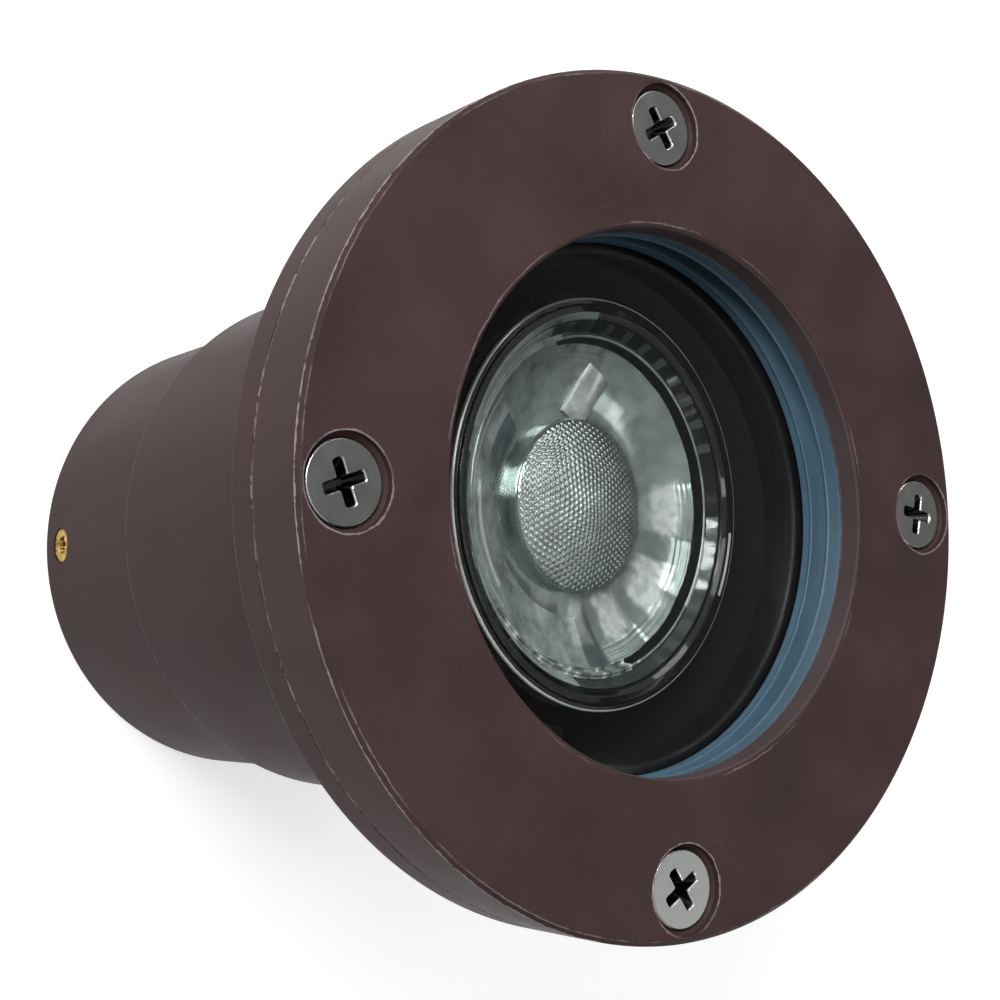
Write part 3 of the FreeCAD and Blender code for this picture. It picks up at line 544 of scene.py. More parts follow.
@dataclass(frozen=True)
class SolidFinish:
    """Opaque finish with a fine skin: plastic, rubber, ceramic, plain or plated metal."""

    name: str
    colour: Colour
    roughness: float = 0.45
    metallic: float = 0.0
    variation: float = 0.2
    grain: float = 3.0
    mottle: float = 0.15
    relief: float = 0.1
    specular: float = 0.5
    coat: float = 0.0
    scratches: float = 0.0
    # Patches of painted reflection and painted shade laid over the colour.
    facets: tuple[PaintedPatch, ...] = ()

    def material(self, effects: Effects) -> bpy.types.Material:
        """Builds the finish.

        Args:
            effects: the shared effects.

        Returns:
            The finished material.
        """
        material, graph, shader, _ = new_material(self.name)
        place = millimetres(graph)
        skin = graph.group(effects.skin, Place=place, Grain=self.grain, Mottle=self.mottle)
        dark = toned(self.colour, 1 - self.variation)
        light = toned(self.colour, 1 + self.variation)
        colour = graph.blend(graph.spread(skin.outputs["Tone"], low=0.3, high=0.7), dark, light)
        # Painted reflections and painted shade, laid on in order.
        for painted_patch in self.facets:
            mask = graph.group(effects.painted_patch, Place=place, First=painted_patch.first, Last=painted_patch.last,
                               Inner=painted_patch.inner, Outer=painted_patch.outer, Strength=painted_patch.strength).outputs[0]
            colour = graph.blend(mask, colour, toned(painted_patch.colour, 1.0))
        scuffs = graph.group(effects.scuffs, Place=place, Density=0.35).outputs[0]
        scratched = graph.math("MULTIPLY", scuffs, self.scratches)
        scratch_gain, scratch_lift = 1.8, 0.05
        pale = tuple(min(1.0, scratch_gain * part + scratch_lift) for part in self.colour)
        graph.feed(shader.inputs["Base Color"], graph.blend(scratched, colour, (*pale, 1.0)))
        shine = graph.spread(skin.outputs["Tone"], low=0.25, high=0.75, first=0.85 * self.roughness,
                             last=1.15 * self.roughness)
        graph.feed(shader.inputs["Roughness"], shine)
        shader.inputs["Metallic"].default_value = self.metallic
        shader.inputs["Specular IOR Level"].default_value = self.specular
        shader.inputs["Coat Weight"].default_value = self.coat
        bump(graph, shader, skin.outputs["Height"], strength=0.3, depth=0.1 * self.relief)
        return material


@dataclass(frozen=True)
class ClearFinish:
    """Clear glass or plastic that lets the lamps' light through to what is behind it."""

    name: str
    colour: Colour = (1.0, 1.0, 1.0)
    roughness: float = 0.0
    sheen: float = 1.0
    ior: float = 1.5
    haze: float = 0.012
    let_through: float = 0.85

    def material(self, effects: Effects) -> bpy.types.Material:
        """Builds the glass.

        Args:
            effects: the shared effects.

        Returns:
            The finished material.
        """
        material, graph, shader, output = new_material(self.name)
        place = millimetres(graph)
        skin = graph.group(effects.skin, Place=place, Grain=0.35, Mottle=0.05)
        colour = graph.blend(skin.outputs["Tone"], toned(self.colour, 0.97), toned(self.colour, 1.0))
        graph.feed(shader.inputs["Base Color"], colour)
        shine = graph.spread(skin.outputs["Tone"], low=0.3, high=0.7, first=self.roughness,
                             last=self.roughness + self.haze)
        graph.feed(shader.inputs["Roughness"], shine)
        shader.inputs["Transmission Weight"].default_value = 1.0
        shader.inputs["IOR"].default_value = self.ior
        shader.inputs["Specular Tint"].default_value = (self.sheen, self.sheen, self.sheen, 1.0)
        bump(graph, shader, skin.outputs["Height"], strength=0.05, depth=0.02)
        clear = graph.node("ShaderNodeBsdfTransparent")
        clear.inputs[0].default_value = toned(self.colour, self.let_through)
        path = graph.node("ShaderNodeLightPath")
        mixer = graph.node("ShaderNodeMixShader")
        graph.feed(mixer.inputs[0], path.outputs["Is Shadow Ray"])
        graph.feed(mixer.inputs[1], shader.outputs[0])
        graph.feed(mixer.inputs[2], clear.outputs[0])
        graph.feed(output.inputs[0], mixer.outputs[0])
        return material


def bronze_paints(sizes: LightSizes) -> tuple[BronzePaint, ...]:
    """Paints of the cover and of the casting, and a lighter copy of the cover's paint for its opening
    wall, which is painted light.

    Args:
        sizes: the light's main sizes, for the places of the worn edges.

    Returns:
        The three paints.
    """
    face, flange = sizes.total_height, sizes.flange_top
    rim = sizes.face_radius
    opening = Edge(sizes.opening_radius, sizes.gasket_top + 0.2, 0.12, 0.3, 0.35)
    pocket = Edge(sizes.pocket_radius + 0.1, face, 0.13, 0.42, 0.72)
    return (
        BronzePaint("cover_paint", (
            Edge(rim - sizes.face_chamfer, face, 0.1, 0.5, 0.45),
            Edge(rim, face - sizes.face_chamfer, 0.13, 0.38, 0.9),
            Edge(rim, flange + 0.1, 0.13, 0.26),
            Edge(sizes.opening_radius + sizes.lip_round, face, 0.1, 0.55, 0.5),
            opening,
        ), hole_rims=(pocket,), hole_circle=sizes.screw_circle),
        BronzePaint("housing_paint", (
            Edge(rim, flange - 0.1, 0.09, 0.5),
            Edge(rim - 0.1, sizes.flange_bottom + 0.3, 0.14, 0.46, 0.6),
            Edge(sizes.front_barrel - 0.1, sizes.step_height + 0.3, 0.3, 0.4, 0.3),
            Edge(sizes.rear_barrel - 0.1, 0.3, 0.2, 0.5, 0.5),
        ), sheen=0.04),
        # Lighter copy of the paint: painted light on the wall of the opening.
        BronzePaint("opening_wall_painted_light", (opening,), colour=(0.08, 0.061, 0.065)),
    )


def optic_painted_patches() -> tuple[PaintedPatch, ...]:
    """Painted light and shade on the lamp's optic: broad grey patches of dimmer painted reflection, dark
    patches of painted shade over them, then painted reflections of the lamps.

    Returns:
        The patches, in the order in which they are laid on.
    """
    # highlight is a painted reflection of the lamps, dim_reflection a dimmer painted reflection, dark
    # painted shade.
    highlight, dim_reflection, dark = (0.88, 0.97, 0.95), (0.20, 0.25, 0.235), (0.045, 0.06, 0.057)
    return (
        PaintedPatch(-76.0, 2.0, 12.5, 21.0, dim_reflection, 0.9),
        PaintedPatch(155.0, 190.0, 9.0, 14.2, dim_reflection, 0.9),
        PaintedPatch(-190.0, -140.0, 9.0, 13.8, dim_reflection, 0.9),
        PaintedPatch(152.0, 190.0, 9.0, 12.2, dark, 0.75),
        PaintedPatch(-190.0, -146.0, 9.0, 12.2, dark, 0.75),
        PaintedPatch(2.0, 25.0, 14.6, 18.4, highlight),
        PaintedPatch(-36.0, -12.0, 13.6, 18.6, highlight),
        PaintedPatch(-61.0, -46.0, 11.8, 17.6, highlight, 0.9),
        PaintedPatch(-83.0, -71.0, 12.0, 17.0, highlight, 0.8),
        PaintedPatch(-108.0, -99.0, 12.0, 16.0, highlight, 0.35),
        PaintedPatch(150.0, 169.0, 15.6, 17.8, highlight, 0.7),
        PaintedPatch(60.0, 75.0, 12.5, 17.0, highlight, 0.3),
    )


def plain_finishes() -> tuple[SolidFinish | ClearFinish, ...]:
    """Every finish that isn't bronze paint.

    Returns:
        The finishes.
    """
    painted_patches = optic_painted_patches()
    return (
        SolidFinish("liner_black", (0.005, 0.005, 0.0052), 0.42, specular=0.2, grain=0.8,
                    relief=0.04),
        SolidFinish("gasket_silicone", (0.064, 0.122, 0.172), 0.42, variation=0.08, relief=0.08),
        # A lighter copy of the silicone: painted light on the gasket's foot, seen through the glass.
        SolidFinish("gasket_foot_painted_light", (0.094, 0.190, 0.272), 0.5, variation=0.08, relief=0.08),
        SolidFinish("screw_nickel", (0.24, 0.246, 0.238), 0.2, metallic=1.0, variation=0.12,
                    grain=4.0, mottle=0.35, relief=0.12, scratches=0.5),
        # Painted shade inside the cross recess, and a painted glint on edges that face the lamps.
        SolidFinish("recess_painted_shade", (0.055, 0.057, 0.054), 0.26, metallic=1.0, relief=0.3),
        SolidFinish("nickel_painted_glint", (0.85, 0.86, 0.84), 0.2, metallic=0.8, relief=0.3),
        SolidFinish("bare_brass", (0.50, 0.33, 0.09), 0.36, metallic=1.0, variation=0.7,
                    grain=2.2, mottle=1.4, relief=4.0, scratches=0.7),
        SolidFinish("contact_brass", (0.55, 0.40, 0.16), 0.3, metallic=1.0),
        SolidFinish("strap_zinc", (0.48, 0.49, 0.50), 0.36, metallic=1.0, mottle=0.4),
        SolidFinish("strap_black", (0.012, 0.012, 0.013), 0.4, mottle=0.4, specular=0.3),
        SolidFinish("bush_nylon", (0.012, 0.012, 0.012), 0.5, specular=0.3),
        SolidFinish("socket_ceramic", (0.62, 0.59, 0.53), 0.62, relief=0.5, mottle=0.3),
        SolidFinish("lead_sleeve", (0.016, 0.016, 0.017), 0.5),
        SolidFinish("connector_body", (0.42, 0.09, 0.03), 0.45),
        SolidFinish("seal_black", (0.014, 0.014, 0.015), 0.55, relief=0.4),
        SolidFinish("chip_yellow", (0.62, 0.43, 0.06), 0.5, grain=6.0),
        SolidFinish("board_white", (0.70, 0.70, 0.67), 0.5),
        SolidFinish("driver_green", (0.02, 0.13, 0.05), 0.4, coat=0.4),
        SolidFinish("core_aluminium", (0.55, 0.56, 0.57), 0.4, metallic=1.0),
        # Most of the optic's finishes below paint its light and shade: painted patches on the reflector,
        # painted half shade, painted shade, painted light, painted glints and painted highlights.
        SolidFinish("reflector_silver", (0.34, 0.425, 0.39), 0.16, metallic=0.75,
                    variation=0.24, grain=0.5, mottle=0.12, relief=0.4, coat=0.6, facets=painted_patches),
        SolidFinish("optic_painted_half_shade", (0.05, 0.068, 0.066), 0.2, metallic=0.3, coat=0.3),
        SolidFinish("optic_shadow", (0.003, 0.005, 0.006), 0.2, specular=0.3),
        SolidFinish("optic_painted_light", (0.32, 0.39, 0.36), 0.3, metallic=0.2, variation=0.4,
                    grain=0.9, mottle=0.3, relief=0.3, coat=0.5, facets=painted_patches),
        SolidFinish("glass_painted_glint", (0.88, 0.94, 0.92), 0.15, metallic=0.2, coat=1.0),
        SolidFinish("web_pale", (0.56, 0.63, 0.60), 0.25, metallic=0.3, variation=0.35, grain=0.9,
                    mottle=0.3, relief=0.6, coat=0.8),
        SolidFinish("glass_painted_highlight", (0.80, 0.90, 0.88), 0.2, metallic=0.3, variation=0.12, grain=0.9,
                    mottle=0.3, coat=0.8),
        SolidFinish("optic_grey_painted_reflection", (0.20, 0.25, 0.235), 0.2, metallic=0.7, variation=0.3, grain=0.6,
                    mottle=0.2, relief=0.3, coat=0.4, facets=painted_patches),
        SolidFinish("warm_glint", (0.42, 0.30, 0.19), 0.2, metallic=0.3, coat=1.0),
        SolidFinish("pebble_silver", (0.42, 0.485, 0.462), 0.14, metallic=0.8, variation=0.2,
                    grain=1.5, mottle=0.3, relief=0.05, coat=0.6),
        ClearFinish("lens_clear", sheen=0.05, let_through=0.97),
        ClearFinish("lamp_clear", (0.93, 0.985, 0.965), let_through=0.6),
    )


class Finishes:
    """Every finish of the light, by its name."""

    def __init__(self, sizes: LightSizes) -> None:
        """Builds the materials.

        Args:
            sizes: the light's main sizes.
        """
        effects = Effects()
        made = (*plain_finishes(), *bronze_paints(sizes))
        self.by_name = {finish.name: finish.material(effects) for finish in made}

    def dress(self, piece: bpy.types.Object, name: str, *others: str) -> None:
        """Gives a piece its finishes.

        Args:
            piece: the piece; if it has several slots already, each gets the first finish.
            name: the first finish.
            others: finishes that follow it, for the faces that are numbered 1 and up.
        """
        slots = piece.data.materials
        if not slots:
            slots.append(None)
        for number in range(len(slots)):
            slots[number] = self.by_name[name]
        for other in others:
            slots.append(self.by_name[other])


# ---- mesh code -----------------------------------------------------------------------------------


@dataclass(frozen=True)
class Corner:
    """A corner of a turned outline: its place and the radius that it is rounded to."""

    radius: float
    height: float
    rounding: float = 0.0


def outline(corners: Sequence[Corner], closed: bool, steps: int = 4) -> list[Flat]:
    """Points along a turned outline, with its corners rounded.

    Args:
        corners: the outline's corners, in order.
        closed: whether the last corner joins the first.
        steps: straight pieces in each rounded corner.

    Returns:
        The points as (radius, height). Each flat has a point close to each of its ends, which keeps
        its shading flat.
    """
    most_of_side, support_gap, support_share = 0.46, 0.05, 0.3
    count = len(corners)
    places = [Vector((corner.radius, corner.height)) for corner in corners]
    points: list[Flat] = []
    for number, corner in enumerate(corners):
        here = places[number]
        ends = not closed and number in (0, count - 1)
        if corner.rounding <= 0.0 or ends:
            points.append((here.x, here.y))
            continue
        back = places[number - 1] - here
        ahead = places[(number + 1) % count] - here
        half = back.angle(ahead) / 2
        reach = min(corner.rounding / math.tan(half), most_of_side * back.length,
                    most_of_side * ahead.length)
        radius = reach * math.tan(half)
        inward = (back.normalized() + ahead.normalized()).normalized()
        centre = here + inward * (radius / math.sin(half))
        start = here + back.normalized() * reach
        finish = here + ahead.normalized() * reach
        support = min(support_gap, support_share * reach)
        points.append(tuple(start + back.normalized() * support))
        for step in range(steps + 1):
            share = step / steps
            mixed = (start - centre).lerp(finish - centre, share).normalized() * radius
            points.append(tuple(centre + mixed))
        points.append(tuple(finish + ahead.normalized() * support))
    return points


def spin(mesh: bmesh.types.BMesh, points: Sequence[Flat], segments: int, closed: bool,
         axis: Flat = (0.0, 0.0)) -> list[Ring]:
    """Turns an outline about an upright axis.

    Args:
        mesh: the mesh that takes the faces.
        points: (radius, height) points in millimetres; a radius of zero is on the axis.
        segments: steps round the axis.
        closed: whether the last ring joins the first.
        axis: where the axis stands.

    Returns:
        The rings of vertices, one for each point.
    """
    rings = []
    for radius, height in points:
        count = 1 if radius <= 1e-6 else segments
        ring = []
        for step in range(count):
            angle = 2 * math.pi * step / segments
            place = (axis[0] + radius * math.cos(angle), axis[1] + radius * math.sin(angle), height)
            ring.append(mesh.verts.new(Vector(place) * MM))
        rings.append(ring)
    bridge_all(mesh, [*rings, rings[0]] if closed else rings)
    return rings


def bridge(mesh: bmesh.types.BMesh, first: Ring, second: Ring) -> None:
    """Joins two rings.

    Args:
        mesh: the mesh that takes the faces.
        first: one ring, which may be a single point.
        second: the other ring, which may be a single point.
    """
    count = max(len(first), len(second))
    if count == 1:
        return
    for step in range(count):
        after = (step + 1) % count
        corners = [first[step % len(first)], first[after % len(first)],
                   second[after % len(second)], second[step % len(second)]]
        mesh.faces.new(list(dict.fromkeys(corners)))


def bridge_all(mesh: bmesh.types.BMesh, rings: Sequence[Ring]) -> None:
    """Joins each ring to the next."""
    for ring, following in zip(rings, rings[1:]):
        bridge(mesh, ring, following)


def cap_between(mesh: bmesh.types.BMesh, loops: Iterable[Ring]) -> None:
    """Fills the flat region between an outer loop and the loops inside it.

    Args:
        mesh: the mesh that takes the faces.
        loops: the outer loop and those inside it.
    """
    edges = []
    for loop in loops:
        for here, there in zip(loop, [*loop[1:], loop[0]]):
            edges.append(mesh.edges.get((here, there)) or mesh.edges.new((here, there)))
    bmesh.ops.triangle_fill(mesh, edges=edges, use_beauty=True, normal=(0.0, 0.0, 1.0))


def finished(mesh: bmesh.types.BMesh, name: str, sharp: float = SHARP_ANGLE) -> bpy.types.Object:
    """Makes the piece of a mesh.

    Args:
        mesh: the finished faces.
        name: the piece's name.
        sharp: angle in degrees from which an edge shades sharp.

    Returns:
        The new object, in the scene.
    """
    bmesh.ops.recalc_face_normals(mesh, faces=mesh.faces)
    data = bpy.data.meshes.new(name)
    mesh.to_mesh(data)
    mesh.free()
    data.shade_smooth()
    data.set_sharp_from_angle(angle=math.radians(sharp))
    piece = bpy.data.objects.new(name, data)
    bpy.context.scene.collection.objects.link(piece)
    return piece


def lathe(name: str, corners: Sequence[Corner], segments: int = 192,
          closed: bool = True) -> bpy.types.Object:
    """Piece turned about the upright axis from an outline.

    Args:
        name: the piece's name.
        corners: the outline's corners.
        segments: steps round the axis.
        closed: whether the outline closes on itself; an open one ends on the axis.

    Returns:
        The new object.
    """
    mesh = bmesh.new()
    spin(mesh, outline(corners, closed), segments, closed)
    return finished(mesh, name)


def carve(piece: bpy.types.Object, cutters: Sequence[bpy.types.Object]) -> None:
    """Takes the cutters' shapes out of a piece and deletes the cutters.

    Args:
        piece: the piece.
        cutters: closed pieces that reach into it.
    """
    for cutter in cutters:
        step = piece.modifiers.new("carve", "BOOLEAN")
        step.operation = "DIFFERENCE"
        step.solver = "EXACT"
        step.object = cutter
    bpy.context.view_layer.update()
    graph = bpy.context.evaluated_depsgraph_get()
    data = bpy.data.meshes.new_from_object(piece.evaluated_get(graph))
    piece.modifiers.clear()
    piece.data = data
    for cutter in cutters:
        bpy.data.objects.remove(cutter)
    data.shade_smooth()
    data.set_sharp_from_angle(angle=math.radians(SHARP_ANGLE))


def within(value: float, limits: Flat) -> bool:
    """Whether a value lies between two limits."""
    return limits[0] < value < limits[1]


def polar(place: Vector) -> Flat:
    """Distance from the upright axis and heading round it, in degrees."""
    return math.hypot(place.x, place.y), math.degrees(math.atan2(place.y, place.x))


def mark_inside(piece: bpy.types.Object, radius: float, height: float) -> None:
    """Gives the second finish to the faces inside a radius and above a height.

    Args:
        piece: a piece with two finishes.
        radius: the radius in millimetres.
        height: the height in millimetres.
    """
    for face in piece.data.polygons:
        middle = face.center / MM
        face.material_index = int(math.hypot(middle.x, middle.y) < radius and middle.z > height)


def rod(name: str, radius: float, start: Vector, end: Vector, segments: int = 48) -> bpy.types.Object:
    """Plain round cutter.

    Args:
        name: the cutter's name.
        radius: its radius in millimetres.
        start: the middle of one end.
        end: the middle of the other end.
        segments: steps round it.

    Returns:
        The new object.
    """
    mesh = bmesh.new()
    length = (end - start).length
    spin(mesh, [(0.0, 0.0), (radius, 0.0), (radius, length), (0.0, length)], segments, False)
    turn = (end - start).to_track_quat("Z", "Y").to_matrix().to_4x4()
    mesh.transform(Matrix.Translation(start * MM) @ turn)
    return finished(mesh, name)


# ---- the light -----------------------------------------------------------------------------------


@dataclass(frozen=True)
class LightSizes:
    """Main sizes in millimetres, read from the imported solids."""

    total_height: float
    face_radius: float
    flange_top: float
    seat_height: float
    gasket_radius: float
    gasket_top: float
    glass_radius: float
    glass_bottom: float
    glass_top: float
    flange_thickness: float = 4.6
    opening_radius: float = 31.66
    channel_gap: float = 0.3
    front_barrel: float = 36.15
    rear_barrel: float = 34.0
    step_height: float = 33.0
    shoulder_height: float = 36.0
    rear_bore: float = 30.2
    sleeve_bore: float = 32.2
    screw_circle: float = 44.05
    pocket_radius: float = 5.1
    face_chamfer: float = 0.5
    lip_round: float = 0.55
    set_screw_height: float = 5.6
    set_screw_radius: float = 2.6

    @property
    def flange_bottom(self) -> float:
        """Height of the flange's rear side."""
        return self.flange_top - self.flange_thickness

    @property
    def channel_radius(self) -> float:
        """Radius of the channel that the gasket sits in."""
        return self.gasket_radius + self.channel_gap

    @classmethod
    def from_frame(cls) -> LightSizes:
        """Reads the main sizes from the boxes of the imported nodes.

        Returns:
            The sizes.
        """
        cover_low, cover_high = (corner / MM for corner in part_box("cover_ring"))
        gasket_low, gasket_high = (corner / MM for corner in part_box("lens_gasket"))
        glass_low, glass_high = (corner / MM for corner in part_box("lens_glass"))
        return cls(total_height=cover_high.z, face_radius=cover_high.x, flange_top=cover_low.z,
                   seat_height=gasket_low.z, gasket_radius=gasket_high.x, gasket_top=gasket_high.z,
                   glass_radius=glass_high.x, glass_bottom=glass_low.z, glass_top=glass_high.z)


def screw_axes(circle: float) -> dict[str, Flat]:
    """Where the four cover screws stand.

    Args:
        circle: radius of the circle that they stand on.

    Returns:
        Each side's name and the place of its screw.
    """
    return {"east": (circle, 0.0), "north": (0.0, circle), "west": (-circle, 0.0),
            "south": (0.0, -circle)}


@dataclass
class Cover:
    """The cover ring: a thick round plate with the light opening and four sunk holes."""

    sizes: LightSizes
    finishes: Finishes
    edge_round: float = 0.12
    rim_round: float = 0.16
    hole_radius: float = 2.75
    sink_top: float = 102.26
    sink_bottom: float = 99.91
    segments: int = 256
    hole_segments: int = 72

    def build(self) -> bpy.types.Object:
        """Builds and dresses the ring.

        Returns:
            The finished piece.
        """
        sizes = self.sizes
        top, bottom = sizes.total_height, sizes.flange_top
        outside = outline([
            Corner(sizes.face_radius - sizes.face_chamfer - 0.11, top),
            Corner(sizes.face_radius - sizes.face_chamfer, top, self.edge_round),
            Corner(sizes.face_radius, top - sizes.face_chamfer, self.edge_round),
            Corner(sizes.face_radius, bottom, 0.2),
            Corner(sizes.face_radius - 1.0, bottom),
        ], False)
        inside = outline([
            Corner(sizes.opening_radius + 1.0, top),
            Corner(sizes.opening_radius, top, sizes.lip_round),
            Corner(sizes.opening_radius, sizes.gasket_top, 0.12),
            Corner(sizes.channel_radius, sizes.gasket_top, 0.2),
            Corner(sizes.channel_radius, bottom),
        ], False)
        hole = outline([
            Corner(sizes.pocket_radius + self.rim_round + 0.06, top),
            Corner(sizes.pocket_radius, top, self.rim_round),
            Corner(sizes.pocket_radius, self.sink_top, 0.1),
            Corner(self.hole_radius, self.sink_bottom, 0.15),
            Corner(self.hole_radius, bottom),
        ], False)
        mesh = bmesh.new()
        rings = [spin(mesh, outside, self.segments, False), spin(mesh, inside, self.segments, False)]
        for axis in screw_axes(sizes.screw_circle).values():
            rings.append(spin(mesh, hole, self.hole_segments, False, axis))
        cap_between(mesh, [ring[0] for ring in rings])
        cap_between(mesh, [ring[-1] for ring in rings])
        piece = finished(mesh, "cover_plate")
        # The opening's wall gets the lighter paint, as painted light.
        self.finishes.dress(piece, "cover_paint", "opening_wall_painted_light")
        mark_inside(piece, sizes.opening_radius + 0.1, sizes.gasket_top)
        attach(piece, "cover")
        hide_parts("cover_ring")
        return piece


@dataclass
class Housing:
    """The casting: flange and two-step barrel, with its tapped holes and set screws."""

    sizes: LightSizes
    finishes: Finishes
    thread_radius: float = 2.5
    edge_round: float = 0.5
    fillet: float = 0.9
    screw_length: float = 5.9
    screw_inset: float = 0.12
    key_radius: float = 1.45
    key_depth: float = 2.2
    screw_sides: int = 48
    thread_sides: int = 40
    segments: int = 256

    def build(self) -> list[bpy.types.Object]:
        """Builds and dresses the casting and what is screwed into it.

        Returns:
            The finished pieces.
        """
        return [self.casting(), *self.set_screws()]

    def casting(self) -> bpy.types.Object:
        """Builds the flange and barrel in one piece.

        Returns:
            The finished piece.
        """
        sizes = self.sizes
        top, bottom = sizes.flange_top, sizes.flange_bottom
        rim = outline([
            Corner(sizes.face_radius - 1.0, top),
            Corner(sizes.face_radius, top, 0.25),
            Corner(sizes.face_radius, bottom, self.edge_round),
            Corner(sizes.face_radius - 2.0, bottom),
        ], False)
        barrel = outline([
            Corner(sizes.front_barrel + 1.6, bottom),
            Corner(sizes.front_barrel, bottom, self.fillet),
            Corner(sizes.front_barrel, sizes.step_height, self.edge_round),
            Corner(sizes.rear_barrel, sizes.step_height, 0.2),
            Corner(sizes.rear_barrel, 0.0, self.edge_round),
            Corner(sizes.rear_bore, 0.0, 0.3),
            Corner(sizes.rear_bore, sizes.shoulder_height, 0.2),
            Corner(sizes.sleeve_bore, sizes.shoulder_height, 0.1),
            Corner(sizes.sleeve_bore, sizes.seat_height, 0.2),
            Corner(sizes.channel_radius, sizes.seat_height, 0.3),
            Corner(sizes.channel_radius, top, 0.2),
            Corner(sizes.channel_radius + 1.0, top),
        ], False)
        mouth = 0.4
        hole = [(self.thread_radius + mouth, top), (self.thread_radius, top - mouth),
                (self.thread_radius, bottom)]
        mesh = bmesh.new()
        rings = [spin(mesh, rim, self.segments, False), spin(mesh, barrel, self.segments, False)]
        holes = [spin(mesh, hole, self.thread_sides, False, axis)
                 for axis in screw_axes(sizes.screw_circle).values()]
        cap_between(mesh, [rings[0][0], rings[1][-1], *(ring[0] for ring in holes)])
        cap_between(mesh, [rings[0][-1], rings[1][0], *(ring[-1] for ring in holes)])
        piece = finished(mesh, "housing_casting")
        height = Vector((0.0, 0.0, sizes.set_screw_height))
        play, past = 0.05, 1.0
        cutters = []
        for heading in self.set_screw_headings():
            outward = Vector((math.cos(heading), math.sin(heading), 0.0))
            cutters.append(rod("set_screw_hole", sizes.set_screw_radius + play,
                               outward * (sizes.rear_bore - past) + height,
                               outward * (sizes.rear_barrel + past) + height))
        carve(piece, cutters)
        self.finishes.dress(piece, "housing_paint", "liner_black")
        mark_inside(piece, sizes.sleeve_bore + 0.6, sizes.shoulder_height)
        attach(piece, "housing")
        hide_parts("housing")
        return piece

    @staticmethod
    def set_screw_headings() -> list[float]:
        """Headings of the three rear set screws, in radians."""
        return [math.pi + number * 2 * math.pi / 3 for number in range(3)]

    def set_screws(self) -> list[bpy.types.Object]:
        """Builds the brass set screws.

        Returns:
            The three pieces.
        """
        pieces = [self.set_screw(number, heading)
                  for number, heading in enumerate(self.set_screw_headings())]
        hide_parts("rear_set_screws")
        return pieces

    def set_screw(self, number: int, heading: float) -> bpy.types.Object:
        """Builds a set screw with a hexagon socket and a chewed outer end.

        Args:
            number: which of the three it is, from 0.
            heading: where it stands round the barrel, in radians.

        Returns:
            The finished piece.
        """
        radius, length = self.sizes.set_screw_radius, self.screw_length
        key, sides = self.key_radius, self.screw_sides
        mesh = bmesh.new()
        body = outline([Corner(0.0, 0.0), Corner(radius, 0.0, 0.3), Corner(radius, length, 0.35),
                        Corner(key + 0.5, length)], False)
        rings = spin(mesh, body, sides, False)
        floor = length - self.key_depth
        levels = ((key + 0.12, length), (key, length - 0.15), (key, floor))
        hexagons = [[mesh.verts.new(self.hexagon(reach, step, sides, height) * MM)
                     for step in range(sides)] for reach, height in levels]
        tip = mesh.verts.new(Vector((0, 0, floor - 0.5)) * MM)
        bridge_all(mesh, [rings[-1], *hexagons, [tip]])
        self.chew(mesh, number)
        piece = finished(mesh, f"set_screw_{number + 1}")
        outward = Vector((math.cos(heading), math.sin(heading), 0.0))
        inner_end = self.sizes.rear_barrel - self.screw_inset - length
        start = outward * inner_end + Vector((0.0, 0.0, self.sizes.set_screw_height))
        turn = outward.to_track_quat("Z", "Y").to_matrix().to_4x4()
        piece.matrix_world = Matrix.Translation(start * MM) @ turn
        self.finishes.dress(piece, "bare_brass")
        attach(piece, "housing")
        return piece

    def chew(self, mesh: bmesh.types.BMesh, number: int) -> None:
        """Makes a set screw's outer end uneven.

        Args:
            mesh: the screw's faces, foot at the origin.
            number: which of the three it is, so that each differs.
        """
        reach, depth, ripple_x, ripple_y = 0.6, 0.12, 9e3, 7e3
        for vertex in mesh.verts:
            if vertex.co.z > (self.screw_length - reach) * MM:
                wave = math.sin(ripple_x * vertex.co.x + number) * math.cos(ripple_y * vertex.co.y)
                vertex.co.z -= depth * MM * (1 + wave)

    @staticmethod
    def hexagon(radius: float, step: int, sides: int, height: float) -> Vector:
        """Point on a hexagon's edge.

        Args:
            radius: the hexagon's radius at its corners.
            step: which step round it.
            sides: how many steps go round it.
            height: the point's height.

        Returns:
            The point in millimetres.
        """
        angle = 2 * math.pi * step / sides
        within = (angle + math.pi / 6) % (math.pi / 3) - math.pi / 6
        reach = radius * math.cos(math.pi / 6) / math.cos(within)
        return Vector((reach * math.cos(angle), reach * math.sin(angle), height))


class Turn(enum.Enum):
    """How far each cover screw's cross recess is turned, in degrees."""

    EAST = 79.0
    NORTH = 32.1
    WEST = 19.0
    SOUTH = 31.9


# RECESS_SHADE is painted shade in the cross recess; EDGE is a painted highlight on faces turned to the
# lamps.
class ScrewFace(enum.Enum):
    """Faces of a cover screw, numbered as its finishes are."""

    PLAIN = 0
    RECESS_SHADE = 1
    EDGE = 2


